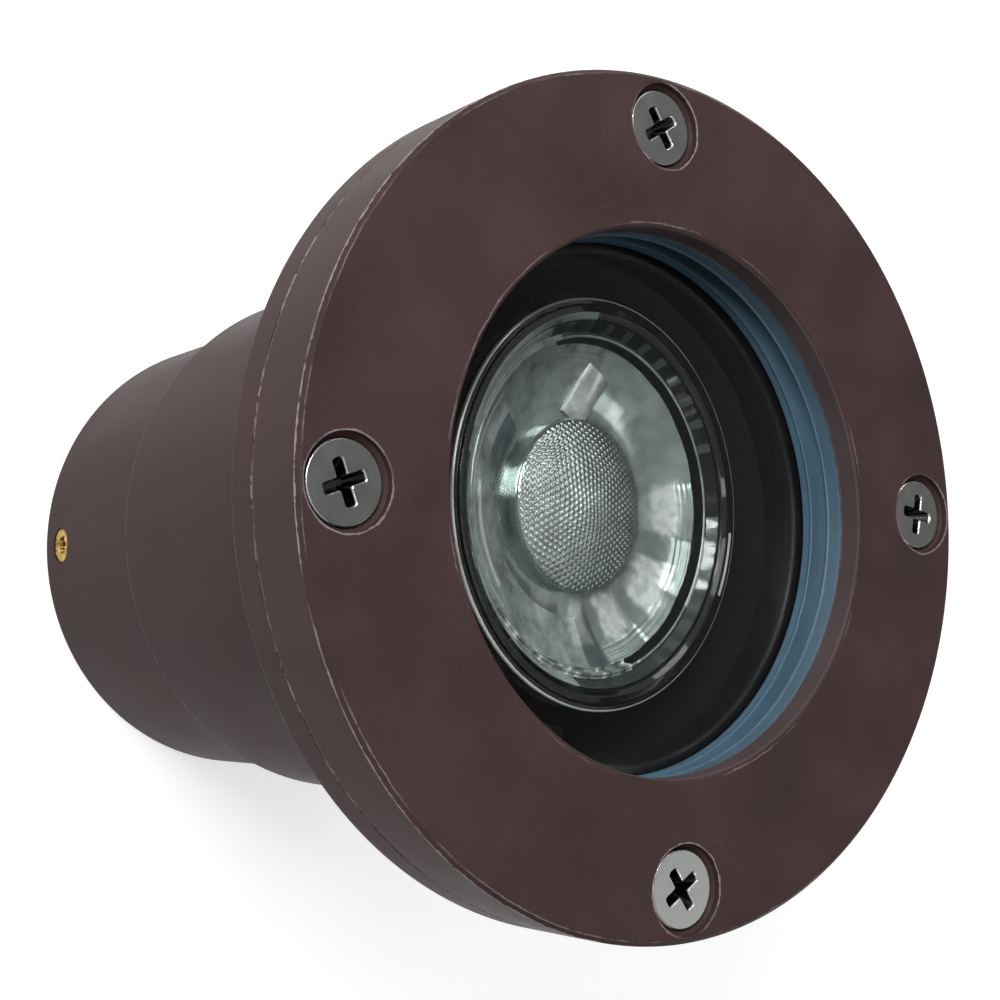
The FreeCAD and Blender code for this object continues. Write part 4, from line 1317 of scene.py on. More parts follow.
@dataclass
class CoverScrews:
    """Four flat-head screws with cross recesses."""

    sizes: LightSizes
    finishes: Finishes
    length: float = 12.0
    sink: float = 0.8
    head_radius: float = 4.5
    shank_radius: float = 2.45
    head_edge: float = 0.4
    head_round: float = 0.4
    recess_span: float = 5.1
    recess_wing: float = 1.2
    floor_span: float = 2.2
    floor_wing: float = 0.6
    recess_depth: float = 2.3
    thread_pitch: float = 0.8
    sharp: float = 30.0
    segments: int = 96

    def build(self) -> list[bpy.types.Object]:
        """Builds and dresses the screws.

        Returns:
            One piece for each screw.
        """
        foot = self.sizes.total_height - self.sink - self.length
        pieces = []
        for side, axis in screw_axes(self.sizes.screw_circle).items():
            blank = self.blank()
            blank.transform(Matrix.Rotation(math.radians(Turn[side.upper()].value), 4, "Z"))
            self.mark(blank)
            piece = finished(blank, f"flat_screw_{side}", self.sharp)
            piece.location = Vector((*axis, foot)) * MM
            self.finishes.dress(piece, "screw_nickel", "recess_painted_shade", "nickel_painted_glint")
            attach(piece, f"cover_screw_{side}")
            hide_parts(f"cover_screw_{side}")
            pieces.append(piece)
        return pieces

    def mark(self, blank: bmesh.types.BMesh) -> None:
        """Sets apart painted shade in the recess and painted glints on the edges that face the left and
        on recess walls that face the right.

        Args:
            blank: the screw's faces, turned as they will stand.
        """
        bmesh.ops.recalc_face_normals(blank, faces=blank.faces)
        top = self.length * MM
        shallow = 0.3
        recess = (0.03, self.recess_depth + 0.1)
        for face in blank.faces:
            middle = face.calc_center_median()
            radius = math.hypot(middle.x, middle.y) / MM
            depth = (top - middle.z) / MM
            inside = radius < self.recess_span / 2 + 0.2
            at_edge = inside or radius > self.head_radius - 0.3
            faces_left = face.normal.x < -0.22 and face.normal.z > 0.25
            faces_right = face.normal.x > 0.55 and face.normal.z > 0.3
            # Faces turned to the lamps get a painted glint; the recess below its rim gets painted shade.
            kind = ScrewFace.PLAIN
            if faces_left and depth < shallow and at_edge or faces_right and depth > shallow and inside:
                kind = ScrewFace.EDGE
            elif inside and within(depth, recess):
                kind = ScrewFace.RECESS_SHADE
            face.material_index = kind.value

    def blank(self) -> bmesh.types.BMesh:
        """Makes a screw with its thread's crests, head and recess.

        Returns:
            Its faces, foot at the origin.
        """
        mesh = bmesh.new()
        length = self.length
        neck = length - self.head_edge - (self.head_radius - self.shank_radius)
        point, thread_depth, crest_round = 0.6, 0.42, 0.06
        corners = [Corner(0.0, 0.0), Corner(self.shank_radius - point, 0.0, 0.2)]
        height = point
        while height + self.thread_pitch < neck:
            corners.append(Corner(self.shank_radius - thread_depth, height, crest_round))
            corners.append(Corner(self.shank_radius, height + self.thread_pitch / 2, crest_round))
            height += self.thread_pitch
        corners += [
            Corner(self.shank_radius - 0.3, neck, 0.1),
            Corner(self.head_radius, length - self.head_edge, 0.1),
            Corner(self.head_radius, length, self.head_round),
            Corner(self.head_radius - 0.8, length),
        ]
        rings = spin(mesh, outline(corners, False), self.segments, False)
        levels = [(self.recess_span + wider, self.recess_wing + wider, length - drop)
                  for wider, drop in ((0.34, 0.0), (0.24, 0.0), (0.1, 0.06), (0.0, 0.2))]
        levels.append((self.floor_span, self.floor_wing, length - self.recess_depth))
        loops = [[mesh.verts.new(Vector((*place, height)) * MM) for place in self.cross(span, wing)]
                 for span, wing, height in levels]
        bridge_all(mesh, loops)
        cap_between(mesh, [rings[-1], loops[0]])
        cap_between(mesh, [loops[-1]])
        return mesh

    @staticmethod
    def cross(span: float, wing: float) -> list[Flat]:
        """Outline of a cross with slightly rounded wing ends and inner corners.

        Args:
            span: length over two opposite wings.
            wing: width of a wing.

        Returns:
            The outline's points, all round.
        """
        half, side = span / 2, wing / 2
        inner = side * 1.35
        arm = [(half - 0.35 * side, -side), (half - 0.08 * side, -0.7 * side), (half, -0.3 * side),
               (half, 0.3 * side), (half - 0.08 * side, 0.7 * side), (half - 0.35 * side, side),
               (inner, side), (side * 1.08, side * 1.08), (side, inner)]
        points = []
        for quarter in range(4):
            angle = quarter * math.pi / 2
            across, upward = math.cos(angle), math.sin(angle)
            points += [(x * across - y * upward, x * upward + y * across) for x, y in arm]
        return points


@dataclass
class Lens:
    """Flat glass and the blue channel gasket that grips its edge."""

    sizes: LightSizes
    finishes: Finishes
    glass_play: float = 0.04
    lip_inner: float = 31.9
    segments: int = 224

    def build(self) -> list[bpy.types.Object]:
        """Builds and dresses both.

        Returns:
            The glass and the gasket.
        """
        sizes, play = self.sizes, self.glass_play
        low, high = sizes.glass_bottom + play, sizes.glass_top - play
        rim = sizes.glass_radius - play
        glass = lathe("lens_disc", [
            Corner(0.0, low), Corner(rim, low, 0.4), Corner(rim, high, 0.4), Corner(0.0, high),
        ], self.segments, False)
        self.finishes.dress(glass, "lens_clear")
        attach(glass, "lens")
        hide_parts("lens_glass")
        gasket = lathe("channel_gasket", [
            Corner(self.lip_inner + 0.05, sizes.seat_height, 0.1),
            Corner(sizes.gasket_radius, sizes.seat_height, 0.4),
            Corner(sizes.gasket_radius, sizes.gasket_top, 0.4),
            Corner(self.lip_inner, sizes.gasket_top, 0.55),
            Corner(self.lip_inner, sizes.glass_top + 0.5, 0.2),
            Corner(self.lip_inner - 0.16, sizes.glass_top + 0.25, 0.1),
            Corner(self.lip_inner, sizes.glass_top, 0.02),
            Corner(sizes.glass_radius, sizes.glass_top, 0.02),
            Corner(sizes.glass_radius, sizes.glass_bottom, 0.02),
            Corner(self.lip_inner, sizes.glass_bottom, 0.2),
            Corner(self.lip_inner + 0.15, sizes.glass_bottom - 0.5, 0.2),
        ], self.segments)
        # Lighter silicone below the glass: painted light on the foot, which the glass keeps light from.
        self.finishes.dress(gasket, "gasket_silicone", "gasket_foot_painted_light")
        foot_top = (sizes.glass_bottom + 0.05) * MM
        for face in gasket.data.polygons:
            face.material_index = int(face.center.z < foot_top)
        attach(gasket, "lens")
        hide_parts("lens_gasket")
        return [glass, gasket]


@dataclass
class Liner:
    """Black sleeve of the lamp well, rounded on the inner edge of its mouth."""

    sizes: LightSizes
    finishes: Finishes
    inner: float = 30.6
    outer: float = 32.1

    def build(self) -> bpy.types.Object:
        """Builds and dresses the sleeve.

        Returns:
            The finished piece.
        """
        top = self.sizes.seat_height - 0.3
        foot = self.sizes.shoulder_height
        piece = lathe("well_liner", [
            Corner(self.inner, foot, 0.2), Corner(self.outer, foot, 0.2),
            Corner(self.outer, top, 0.2), Corner(self.inner, top, 0.6),
        ])
        self.finishes.dress(piece, "liner_black")
        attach(piece, "housing")
        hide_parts("inner_sleeve")
        return piece


@dataclass
class RearCap:
    """Plug of the rear barrel with its conduit thread."""

    finishes: Finishes
    inset: float = 1.0
    top: float = 14.0
    radius: float = 30.1
    conduit: float = 9.4
    pitch: float = 1.25
    thread_depth: float = 0.45
    bush_radius: float = 11.9
    bush_floor: float = 11.0
    seal_height: float = 10.9
    groove_half: float = 1.25
    groove_depth: float = 2.4

    def build(self) -> bpy.types.Object:
        """Builds and dresses the plug.

        Returns:
            The finished piece.
        """
        low, high = self.seal_height - self.groove_half, self.seal_height + self.groove_half
        corners = [
            Corner(self.conduit + 0.6, self.inset, 0.15),
            Corner(self.radius, self.inset, 0.5),
            Corner(self.radius, low, 0.1),
            Corner(self.radius - self.groove_depth, low, 0.1),
            Corner(self.radius - self.groove_depth, high, 0.1),
            Corner(self.radius, high, 0.1),
            Corner(self.radius, self.top, 0.3),
            Corner(self.bush_radius, self.top, 0.2),
            Corner(self.bush_radius, self.bush_floor, 0.1),
            Corner(self.conduit, self.bush_floor, 0.1),
        ]
        height, crest_round = self.bush_floor - 0.8, 0.06
        while height - self.pitch > self.inset + 0.4:
            corners.append(Corner(self.conduit + self.thread_depth, height, crest_round))
            corners.append(Corner(self.conduit, height - self.pitch / 2, crest_round))
            height -= self.pitch
        piece = lathe("rear_plug", corners)
        self.finishes.dress(piece, "housing_paint")
        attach(piece, "housing")
        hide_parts("rear_cap")
        return piece


# Apart from MIRROR, the zones are painted light and shade: half shade, shade, light, glints, a warm glint
# and grey painted reflections.
class Zone(enum.Enum):
    """Zones of the lamp's optic, numbered as its finishes are."""

    MIRROR = 0
    SMOKE = 1
    SHADOW = 2
    PAINTED_LIGHT = 3
    EDGE = 4
    WARM = 5
    GREY = 6


# Apart from CLEAR, the glass body's faces carry painted glints, painted light and a painted highlight.
class CupFace(enum.Enum):
    """Faces of the lamp's glass body, numbered as its finishes are."""

    CLEAR = 0
    EDGE = 1
    PAINTED_LIGHT = 2
    BRIGHT_HIGHLIGHT = 3


@dataclass(frozen=True)
class ZoneMap:
    """Where the optic's painted light, painted shade and painted glints lie: headings in degrees, radii
    in millimetres.
    """

    land_radius: float
    bead_radius: float
    dish_radius: float
    teeth: int
    # These headings and radii place the painted light, painted shade and painted glints.
    left: float = 192.0
    shaded: Flat = (-60.0, 118.0)
    toothed: Flat = (10.0, 125.0)
    deep_shadow_to: float = 30.0
    shadow_share: float = 0.7
    painted_light_past_left: float = 80.0
    bead_flash: Flat = (-24.0, 3.0)
    upper_painted_light: Flat = (92.0, 150.0)
    upper_painted_light_from: float = 13.0
    low_left: Flat = (-172.0, -78.0)
    low_left_from: float = 14.0
    left_from: float = 16.2
    left_reach: float = 55.0
    streaked: Flat = (-175.0, -132.0)
    streak: Flat = (16.9, 17.4)
    warm_streak: Flat = (16.0, 16.35)
    outer_streak: Flat = (18.75, 19.15)
    outer_streak_reach: float = 42.0
    broken: Flat = (-130.0, -55.0)
    bright_from: float = 1.1
    grey_to: float = -0.6

    def zone(self, radius: float, heading: float) -> Zone:
        """Which finish the optic has at a place: painted light on the side away from the shadow, painted
        shade and half shade on the shadowed side.

        Args:
            radius: distance from the lamp's axis.
            heading: angle round it in degrees, from -180 to 180.

        Returns:
            The zone there.
        """
        past_left = abs((heading - self.left + 180.0) % 360.0 - 180.0)
        shaded = within(heading, self.shaded)
        if radius > self.land_radius:
            return self.wall(heading, past_left)
        if within(radius, (self.dish_radius, self.bead_radius - 0.2)):
            return Zone.SHADOW if shaded else self.glint(heading)
        if radius > self.bead_radius - 0.25:
            if within(heading, self.bead_flash):
                return Zone.EDGE
            return Zone.SMOKE if shaded and radius > self.bead_radius + 0.1 else self.glint(heading)
        return self.dish(radius, heading, past_left)

    def wall(self, heading: float, past_left: float) -> Zone:
        """Zone on the toothed wall: painted shade between the teeth and away from the left, painted light
        towards the left.

        Args:
            heading: angle round the axis in degrees.
            past_left: angle from the optic's left side.

        Returns:
            The zone there.
        """
        if not within(heading, self.toothed):
            return Zone.SMOKE if past_left > self.painted_light_past_left else Zone.PAINTED_LIGHT
        share = (heading * self.teeth / 360.0) % 1.0
        dark = share < self.shadow_share or heading < self.deep_shadow_to
        return Zone.SHADOW if dark else Zone.SMOKE

    def dish(self, radius: float, heading: float, past_left: float) -> Zone:
        """Zone on the hollow dish: painted light at its top and left, painted glint streaks and a warm
        painted glint on its lower left.

        Args:
            radius: distance from the lamp's axis.
            heading: angle round it in degrees.
            past_left: angle from the optic's left side.

        Returns:
            The zone there.
        """
        if within(heading, self.upper_painted_light) and radius > self.upper_painted_light_from:
            return Zone.PAINTED_LIGHT
        streaked = within(heading, self.streaked)
        on_outer_streak = past_left < self.outer_streak_reach and within(radius, self.outer_streak)
        if on_outer_streak or (streaked and within(radius, self.streak)):
            return Zone.EDGE
        if streaked and within(radius, self.warm_streak):
            return Zone.WARM
        low_left = within(heading, self.low_left)
        pale_from = self.low_left_from if low_left else self.left_from
        pale = radius > pale_from and (low_left or past_left < self.left_reach)
        return Zone.PAINTED_LIGHT if pale else Zone.MIRROR

    def glint(self, heading: float) -> Zone:
        """Zone on the ring of painted light, with broken painted glints and grey painted reflections
        along its lower side.

        Args:
            heading: angle round the axis in degrees.

        Returns:
            The zone there.
        """
        wave = math.sin(math.radians(23 * heading)) + math.sin(math.radians(57 * heading))
        broken = within(heading, self.broken)
        if broken and wave > self.bright_from:
            return Zone.EDGE
        return Zone.GREY if broken and wave < self.grey_to else Zone.PAINTED_LIGHT


@dataclass
class Lamp:
    """Reflector lamp: clear glass cup, ring optic with its dish, and pebbled centre lens.

    Its pieces are made in the lamp's own frame: origin in the middle of the front face, Z outward.
    """

    finishes: Finishes
    frame: Matrix
    rim_radius: float = 25.4
    rim_height: float = 2.6
    bowl_radius: float = 24.2
    neck_radius: float = 8.6
    bowl_depth: float = 29.0
    wall: float = 1.5
    cup_segments: int = 192
    optic_radius: float = 22.55
    land_radius: float = 21.4
    land_depth: float = 1.9
    bead_radius: float = 20.9
    dish_radius: float = 20.05
    dish_depth: float = 2.9
    dish_foot: float = 5.9
    ripple_radius: float = 17.9
    lens_radius: float = 11.0
    lens_depth: float = 4.5
    lens_crown: float = 2.2
    lens_edge: float = 4.0
    lens_round: float = 0.45
    pebble_pitch: float = 0.8
    pebble_height: float = 0.095
    teeth: int = 40
    tooth_steps: int = 6
    facets: int = 16
    facet_heading: float = -0.8
    ripple_pitch: float = 0.63
    ripple_height: float = 0.012
    neck_foot: float = -44.5
    neck_width: float = 17.0
    neck_depth: float = 9.6
    web_inner: Flat = (-2.8, 10.65)
    web_outer: Flat = (-0.55, 17.2)
    web_height: float = 0.55
    # Where the cup's painted glint, painted highlight and painted light lie, in degrees.
    cup_glint: Flat = (-15.0, 5.0)
    cup_highlight: Flat = (135.0, 172.0)
    cup_painted_light_from: float = 105.0
    pieces: list[bpy.types.Object] = field(default_factory=list)

    def build(self) -> list[bpy.types.Object]:
        """Builds and dresses the lamp.

        Returns:
            The finished pieces.
        """
        self.cup()
        self.optic()
        self.centre_lens()
        return self.pieces

    def add(self, piece: bpy.types.Object, finishes: Sequence[str], slot: str, node: str = "") -> None:
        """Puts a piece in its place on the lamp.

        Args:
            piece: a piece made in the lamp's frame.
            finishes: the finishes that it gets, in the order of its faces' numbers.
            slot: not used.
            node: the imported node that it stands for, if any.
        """
        piece.matrix_world = self.frame
        self.finishes.dress(piece, *finishes)
        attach(piece, "lamp")
        if node:
            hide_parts(node)
        self.pieces.append(piece)

    @staticmethod
    def bowl_curve(rim: float, foot: float, start: float, end: float, count: int = 22) -> list[Flat]:
        """Wall of the bowl from the rim to the foot: a parabola that opens to the front.

        Args:
            rim: radius at the rim.
            foot: radius at the foot.
            start: depth of the rim below the lamp's front face.
            end: depth of the foot below it.
            count: straight pieces in the curve.

        Returns:
            The points as (radius, height).
        """
        points = []
        for step in range(count + 1):
            share = 1 - (1 - step / count) ** 2
            depth = start + (end - start) * share
            points.append((foot + (rim - foot) * math.sqrt(1 - share), -depth))
        return points

    def cup(self) -> None:
        """Builds the glass body: rounded rim, bowl and neck."""
        inner_rim = self.bowl_radius - self.wall
        inner_foot = self.neck_radius - self.wall
        lip = 1.2
        front = outline([
            Corner(inner_rim, -self.rim_height),
            Corner(inner_rim, -0.45, 0.4),
            Corner(inner_rim + 0.8, 0.0, 0.35),
            Corner(inner_rim + lip, 0.0),
            Corner(self.rim_radius - 1.0, 0.0, 0.15),
            Corner(self.rim_radius - 0.75, -0.28, 0.1),
            Corner(self.rim_radius, -0.2, 0.4),
            Corner(self.rim_radius, -self.rim_height, 0.5),
            Corner(self.bowl_radius, -self.rim_height - lip, 0.3),
        ], False, 6)
        outside = self.bowl_curve(self.bowl_radius, self.neck_radius, self.rim_height + lip,
                                  self.bowl_depth)[1:]
        inside = self.bowl_curve(inner_rim, inner_foot, self.rim_height,
                                 self.bowl_depth - self.wall)
        points = [*front, *outside, (0.0, -self.bowl_depth)]
        points += [(0.0, -self.bowl_depth + self.wall), *reversed(inside[1:])]
        mesh = bmesh.new()
        rings = spin(mesh, points, self.cup_segments, False)
        bridge(mesh, rings[-1], rings[0])
        # Painted glints on the rim, painted light and a painted highlight on the lip's upper left.
        for face in mesh.faces:
            face.material_index = self.cup_face(face.calc_center_median() / MM).value
        self.add(finished(mesh, "lamp_bowl"), ("lamp_clear", "glass_painted_glint", "optic_painted_light", "glass_painted_highlight"),
                 "lamp_clear", "lamp_glass_cup")
        self.add(self.neck(), ("lamp_clear",), "lamp_clear")

    def cup_face(self, middle: Vector) -> CupFace:
        """Which finish the glass body has at a place.

        Args:
            middle: the place, in the lamp's frame.

        Returns:
            The kind of face there: painted glints on the rim and at one place on the lip, painted light
                on the lip's upper left with a painted highlight in it.
        """
        radius, heading = polar(middle)
        inner_rim = self.bowl_radius - self.wall
        in_front = middle.z > -0.6
        if within(radius, (inner_rim, inner_rim + 0.85)) and heading > self.cup_painted_light_from and in_front:
            return CupFace.BRIGHT_HIGHLIGHT if within(heading, self.cup_highlight) else CupFace.PAINTED_LIGHT
        rim = radius > self.rim_radius - 0.3 and in_front
        on_lip = within(radius, (inner_rim + 1.15, inner_rim + 1.75)) and middle.z > -0.1
        return CupFace.EDGE if rim or (on_lip and within(heading, self.cup_glint)) else CupFace.CLEAR

    def neck(self) -> bpy.types.Object:
        """Makes the oval glass neck behind the bowl.

        Returns:
            The neck, not dressed yet.
        """
        mesh = bmesh.new()
        top, foot = -self.bowl_depth + 1.0, self.neck_foot
        loops = []
        for inset, height in ((0.0, top), (0.0, foot + 0.7), (0.2, foot + 0.2), (0.7, foot)):
            points = self.oval(self.neck_width - 2 * inset, self.neck_depth - 2 * inset)
            loops.append([mesh.verts.new(Vector((*point, height)) * MM) for point in points])
        bridge_all(mesh, loops)
        mesh.faces.new(loops[0])
        mesh.faces.new(loops[-1])
        return finished(mesh, "lamp_neck")

    @staticmethod
    def oval(width: float, depth: float, arc: int = 16) -> list[Flat]:
        """Outline with two straight sides along Y and two half-round ends.

        Args:
            width: its length along Y.
            depth: its width along X.
            arc: steps round each end.

        Returns:
            The outline's points.
        """
        half, side = width / 2 - depth / 2, depth / 2
        points = []
        for end in (1, -1):
            for step in range(arc + 1):
                angle = math.pi * step / arc
                points.append((end * side * math.cos(angle), end * (half + side * math.sin(angle))))
        return points

    def dish_height(self, radius: float, heading: float) -> float:
        """Height of the dish: hollow, in flat facets, with fine ripples near its edge.

        Args:
            radius: distance from the lamp's axis.
            heading: angle round it, in radians.

        Returns:
            The height above the lamp's front face.
        """
        pitch = 2 * math.pi / self.facets
        mean, swing, hollow = 0.55, 0.45, 1.8
        sharpness = mean + swing * math.cos(heading - self.facet_heading)
        flat = radius * (1 + sharpness * (math.cos(heading % pitch - pitch / 2) - 1))
        share = max(0.0, (flat - self.lens_radius) / (self.dish_radius - self.lens_radius))
        height = -self.dish_foot + (self.dish_foot - self.dish_depth) * share ** hollow
        if radius > self.ripple_radius:
            wave = math.sin(2 * math.pi * (radius - self.ripple_radius) / self.ripple_pitch)
            height += self.ripple_height * wave
        return height

    def optic(self) -> None:
        """Builds the ring optic: toothed wall, land with its bead, groove and hollow dish, with zones of
        painted light and painted shade.
        """
        mesh = bmesh.new()
        segments = self.tooth_steps * self.teeth
        wide = np.linspace(self.dish_radius, self.ripple_radius, 20)
        narrow = np.linspace(self.ripple_radius, self.lens_radius, 20)[1:]
        dish = [*wide, *narrow]
        wall = self.optic_wall()
        foot, core, core_foot = -self.lens_depth - self.lens_edge, 6.0, -19.5
        behind = [(self.lens_radius, foot), (core, foot), (core, core_foot), (10.5, core_foot),
                  (self.optic_radius - 1.6, -self.land_depth - 4.4)]
        rings = spin(mesh, [*wall, *((radius, 0.0) for radius in dish), *behind], segments, True)
        for radius, ring in zip(dish, rings[len(wall):]):
            for step, vertex in enumerate(ring):
                vertex.co.z = self.dish_height(radius, 2 * math.pi * step / segments) * MM
        slope_start, slope_end, tooth_drop = 3, 5, 0.2
        for ring in rings[slope_start:slope_end]:
            for step, vertex in enumerate(ring):
                if step % self.tooth_steps < self.tooth_steps // 2:
                    vertex.co.z -= tooth_drop * MM
        zones = ZoneMap(self.land_radius, self.bead_radius, self.dish_radius, self.teeth)
        for face in mesh.faces:
            face.material_index = zones.zone(*polar(face.calc_center_median() / MM)).value
        finishes = ("reflector_silver", "optic_painted_half_shade", "optic_shadow", "optic_painted_light", "glass_painted_glint",
                    "warm_glint", "optic_grey_painted_reflection")
        self.add(finished(mesh, "ring_optic", 24.0), finishes, "optic_clear", "lamp_optic")
        self.strut()

    def optic_wall(self) -> list[Flat]:
        """Outline of the optic from its outer edge over the land and its bead to the dish.

        Returns:
            The points as (radius, height).
        """
        rim, land = -0.7, -self.land_depth
        groove = -self.dish_depth - 0.1
        bead = [(self.bead_radius + 0.22 * math.cos(angle), land + 0.2 * math.sin(angle))
                for angle in np.linspace(0.0, math.pi, 7)]
        return [
            (self.optic_radius, -self.land_depth - 2.2),
            (self.optic_radius, rim),
            (self.optic_radius - 0.15, rim),
            (self.optic_radius - 0.3, rim - 0.1),
            (self.land_radius + 0.1, land + 0.08),
            (self.land_radius, land),
            *bead,
            (self.bead_radius - 0.26, land - 0.2),
            (self.bead_radius - 0.35, groove),
            (self.dish_radius + 0.2, groove),
            (self.dish_radius + 0.08, -self.dish_depth),
        ]

    def strut(self) -> None:
        """Builds the flat web that ties the centre lens to the ring on its upper side."""
        mesh = bmesh.new()
        inner, outer = Vector(self.web_inner), Vector(self.web_outer)
        along = (outer - inner).normalized()
        aside = Vector((along.y, -along.x))
        loops = []
        inner_half, outer_half = 1.8, 2.0
        ends = ((inner, inner_half), (outer, outer_half), (outer, -outer_half), (inner, -inner_half))
        for drop, spread in ((0.8, 0.14), (0.14, 0.1), (0.04, 0.05), (0.0, 0.0)):
            loop = []
            for end, half in ends:
                outward = spread if end is outer else -spread
                place = end + along * outward + aside * (half + math.copysign(spread, half))
                height = self.dish_height(end.length, math.pi / 2) + self.web_height - drop
                loop.append(mesh.verts.new(Vector((*place, height)) * MM))
            loops.append(loop)
        bridge_all(mesh, loops)
        # The web's sides get a painted glint.
        for face in mesh.faces:
            face.material_index = 1
        mesh.faces.new(loops[0])
        mesh.faces.new(loops[-1])
        self.add(finished(mesh, "optic_web"), ("web_pale", "glass_painted_glint"), "optic_clear")

    def centre_lens(self) -> None:
        """Builds the crowned lens, whose face is a dense field of round pebbles."""
        mesh = bmesh.new()
        rings, segments = 140, 540
        ball = (self.lens_radius ** 2 + self.lens_crown ** 2) / (2 * self.lens_crown)
        points = [(0.0, 0.0)]
        points += [(self.lens_radius * step / rings, 0.0) for step in range(1, rings - 2)]
        points += [(self.lens_radius - self.lens_round * (1 - math.sin(angle)), 0.0)
                   for angle in np.linspace(0.5, math.pi / 2, 6)]
        points += [(self.lens_radius, -self.lens_edge), (0.0, -self.lens_edge)]
        spin(mesh, points, segments, False)
        base, on_face, fade_width = -self.lens_depth, -1e-6, 0.8
        for vertex in mesh.verts:
            if vertex.co.z < on_face:
                vertex.co.z += base * MM
                continue
            x, y = vertex.co.x / MM, vertex.co.y / MM
            crown = math.sqrt(ball ** 2 - x * x - y * y) - ball + self.lens_crown
            fade = min(1.0, (self.lens_radius - math.hypot(x, y)) / fade_width)
            over = max(0.0, math.hypot(x, y) - self.lens_radius + self.lens_round)
            rounded = self.lens_round - math.sqrt(max(0.0, self.lens_round ** 2 - over ** 2))
            vertex.co.z = (base + crown + self.pebble(x, y) * fade - rounded) * MM
        self.add(finished(mesh, "pebbled_lens", 60.0), ("pebble_silver",), "optic_clear",
                 "lamp_centre_lens")

    def pebble(self, x: float, y: float) -> float:
        """Height of the pebbles at a place: three waves that cross at sixty degrees.

        Args:
            x: the place's first coordinate in millimetres.
            y: the place's second coordinate in millimetres.

        Returns:
            The height above the crown in millimetres.
        """
        sway, lean = 0.1, 0.2
        x, y = x + sway * math.sin(0.9 * y + 0.4 * x), y + sway * math.sin(1.1 * x - 0.3 * y)
        wave = 2 * math.pi / (self.pebble_pitch * math.sin(math.pi / 3))
        total = sum(math.cos(wave * (x * math.cos(turn) + y * math.sin(turn)))
                    for turn in (lean, lean + math.pi / 3, lean + 2 * math.pi / 3))
        return self.pebble_height * total / 3


# ---- stage ---------------------------------------------------------------------------------------


@dataclass(frozen=True)
class Panel:
    """A soft rectangular lamp: its direction from the light, distance, two sides and brightness."""

    name: str
    direction: Spot
    distance: float
    width: float
    length: float
    radiance: float


@dataclass
class Stage:
    """Floor, light and camera."""

    floor_size: float = 60.0
    floor_tone: float = 0.68
    floor_glow: float = 0.58
    world_level: float = 0.40
    world_slant: float = 0.18
    aim: Spot = (0.0, 0.0, 0.09)
    panels: tuple[Panel, ...] = (
        Panel("key_panel", (-0.58, 0.43, 0.69), 0.4, 0.18, 0.18, 13.6),
        Panel("front_panel", (-0.04, -0.08, 0.995), 1.1, 0.18, 0.16, 4.0),
        Panel("top_panel", (0.08, 0.28, 0.95), 1.1, 0.28, 0.30, 2.8),
        Panel("dish_panel", (0.42, 0.62, 0.66), 1.1, 0.32, 0.28, 3.6),
        Panel("low_panel", (0.68, -0.22, 0.70), 1.1, 0.24, 0.26, 1.3),
        Panel("left_panel", (-0.93, 0.12, 0.33), 1.1, 0.30, 0.30, 2.6),
        Panel("foot_panel", (-0.25, -0.85, 0.45), 1.1, 0.30, 0.30, 2.4),
    )
    camera_place: Spot = (-0.129566, -0.016923, 0.239884)
    camera_right: Spot = (0.796655, -0.018002, 0.604166)
    camera_up: Spot = (-0.041227, 0.995610, 0.084027)
    camera_lens: float = 58.985

    def build(self) -> None:
        """Builds the whole stage."""
        self.floor()
        self.light()
        self.camera()

    def floor(self) -> None:
        """Lays the pale floor under the rear end."""
        mesh = bmesh.new()
        half = self.floor_size / 2
        corners = [(-half, -half, 0.0), (half, -half, 0.0), (half, half, 0.0), (-half, half, 0.0)]
        mesh.faces.new([mesh.verts.new(corner) for corner in corners])
        floor = finished(mesh, "studio_floor")
        material, graph, shader, output = new_material("floor_white")
        shader.inputs["Base Color"].default_value = toned(WHITE, self.floor_tone)
        shader.inputs["Roughness"].default_value = 0.9
        shader.inputs["Specular IOR Level"].default_value = 0.1
        path = graph.node("ShaderNodeLightPath")
        seen = graph.math("MAXIMUM", path.outputs["Is Camera Ray"], path.outputs["Is Glossy Ray"])
        seen = graph.math("MAXIMUM", seen, path.outputs["Is Transmission Ray"])
        glow = graph.node("ShaderNodeEmission")
        graph.feed(glow.inputs["Strength"], graph.math("MULTIPLY", seen, self.floor_glow))
        both = graph.node("ShaderNodeAddShader")
        graph.feed(both.inputs[0], shader.outputs[0])
        graph.feed(both.inputs[1], glow.outputs[0])
        graph.feed(output.inputs[0], both.outputs[0])
        floor.data.materials.append(material)

    def light(self) -> None:
        """Hangs the soft panels in a white surround."""
        world = bpy.data.worlds.new("studio")
        world.use_nodes = True
        graph = Graph(world.node_tree)
        towards = parts_of(graph, graph.node("ShaderNodeTexCoord").outputs["Generated"])
        slant = graph.math("MULTIPLY", towards["Y"], self.world_slant)
        background = world.node_tree.nodes["Background"]
        background.inputs[0].default_value = toned(WHITE, 1.0)
        graph.feed(background.inputs[1], graph.math("ADD", slant, self.world_level))
        bpy.context.scene.world = world
        bpy.context.scene.cycles.caustics_refractive = False
        bpy.context.scene.cycles.caustics_reflective = False
        for panel in self.panels:
            lamp = bpy.data.lights.new(panel.name, "AREA")
            lamp.shape = "RECTANGLE"
            lamp.size, lamp.size_y = panel.width, panel.length
            lamp.energy = panel.radiance * math.pi * panel.width * panel.length
            holder = bpy.data.objects.new(panel.name, lamp)
            bpy.context.scene.collection.objects.link(holder)
            away = Vector(panel.direction).normalized()
            holder.location = Vector(self.aim) + away * panel.distance
            holder.rotation_euler = away.to_track_quat("Z", "Y").to_euler()

    def camera(self) -> None:
        """Sets up the camera at the photograph's angle."""
        lens = bpy.data.cameras.new("camera")
        lens.lens = self.camera_lens
        lens.clip_start = 0.01
        holder = bpy.data.objects.new("camera", lens)
        bpy.context.scene.collection.objects.link(holder)
        right, up = Vector(self.camera_right), Vector(self.camera_up)
        back = right.cross(up).normalized()
        turn = Matrix((right, up, back)).transposed().to_4x4()
        holder.matrix_world = Matrix.Translation(Vector(self.camera_place)) @ turn
        bpy.context.scene.camera = holder


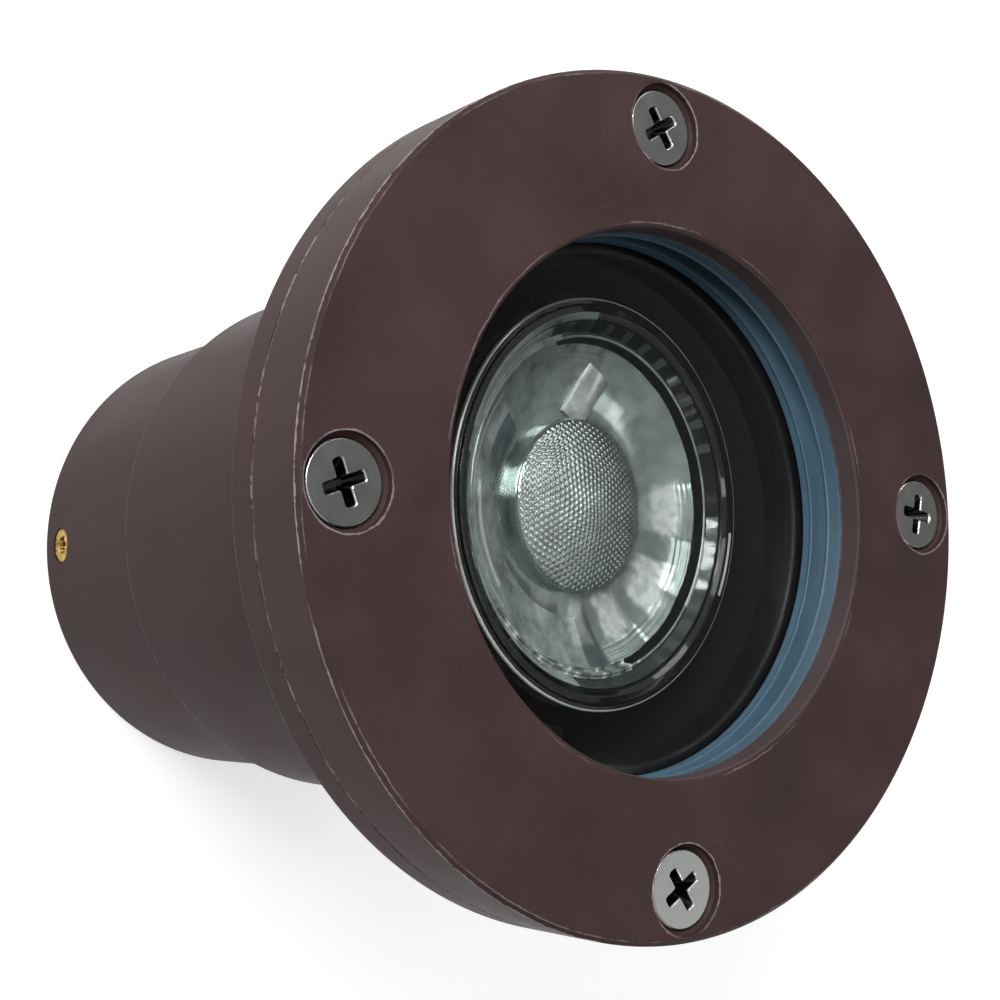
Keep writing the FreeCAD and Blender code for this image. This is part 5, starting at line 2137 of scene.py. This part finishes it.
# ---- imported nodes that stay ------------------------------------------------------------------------


NODE_FINISHES = {
    "rear_cap_seal": "seal_black",
    "cable_bush": "seal_black",
    "pivot_screws": "strap_black",
    "pivot_bushes": "bush_nylon",
    "lamp_yoke": "strap_black",
    "socket_body": "socket_ceramic",
    "socket_contacts": "contact_brass",
    "socket_screws": "strap_zinc",
    "socket_lead_a": "lead_sleeve",
    "socket_lead_b": "lead_sleeve",
    "wire_connectors": "connector_body",
    "lamp_chip": "chip_yellow",
    "lamp_board": "board_white",
    "lamp_heat_sink": "core_aluminium",
    "lamp_driver_board": "driver_green",
    "lamp_pins": "strap_zinc",
}


def lamp_frame(joints: Sequence[dict]) -> Matrix:
    """Frame of the lamp's front face, worked out from its joints.

    Args:
        joints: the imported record's joints.

    Returns:
        Its matrix: Z along the way that the lamp unplugs, Y along the tilt's pivots.
    """
    by_name = {joint["name"]: joint for joint in joints}
    pivot = Vector(by_name["lamp_tilt"]["pos_m"])
    across = Vector(by_name["lamp_tilt"]["axis"]).normalized()
    outward = Vector(by_name["lamp_unplug"]["axis"]).normalized()
    side_shift, face_above_pivot = 1.22, 14.6
    origin = pivot + (across * side_shift + outward * face_above_pivot) * MM
    turn = Matrix((across.cross(outward), across, outward)).transposed().to_4x4()
    return Matrix.Translation(origin) @ turn


def main() -> None:
    """Builds the dressed light on its stage."""
    logging.basicConfig(level=logging.INFO, format="%(message)s")
    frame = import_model()
    sizes = LightSizes.from_frame()
    finishes = Finishes(sizes)
    bpy.context.scene.view_settings.view_transform = "Standard"
    Stage().build()
    for node, finish in NODE_FINISHES.items():
        finishes.dress(frame["nodes"][node], finish)
        LOG.info("node %s: %s", node, finish)
    built = [Cover(sizes, finishes).build(), *Housing(sizes, finishes).build()]
    built += CoverScrews(sizes, finishes).build()
    built += Lens(sizes, finishes).build()
    built += [Liner(sizes, finishes).build(), RearCap(finishes).build()]
    built += Lamp(finishes, lamp_frame(frame["joints"])).build()
    for piece in built:
        LOG.info("piece %s: %d faces", piece.name, len(piece.data.polygons))


if __name__ == "__main__":
    main()
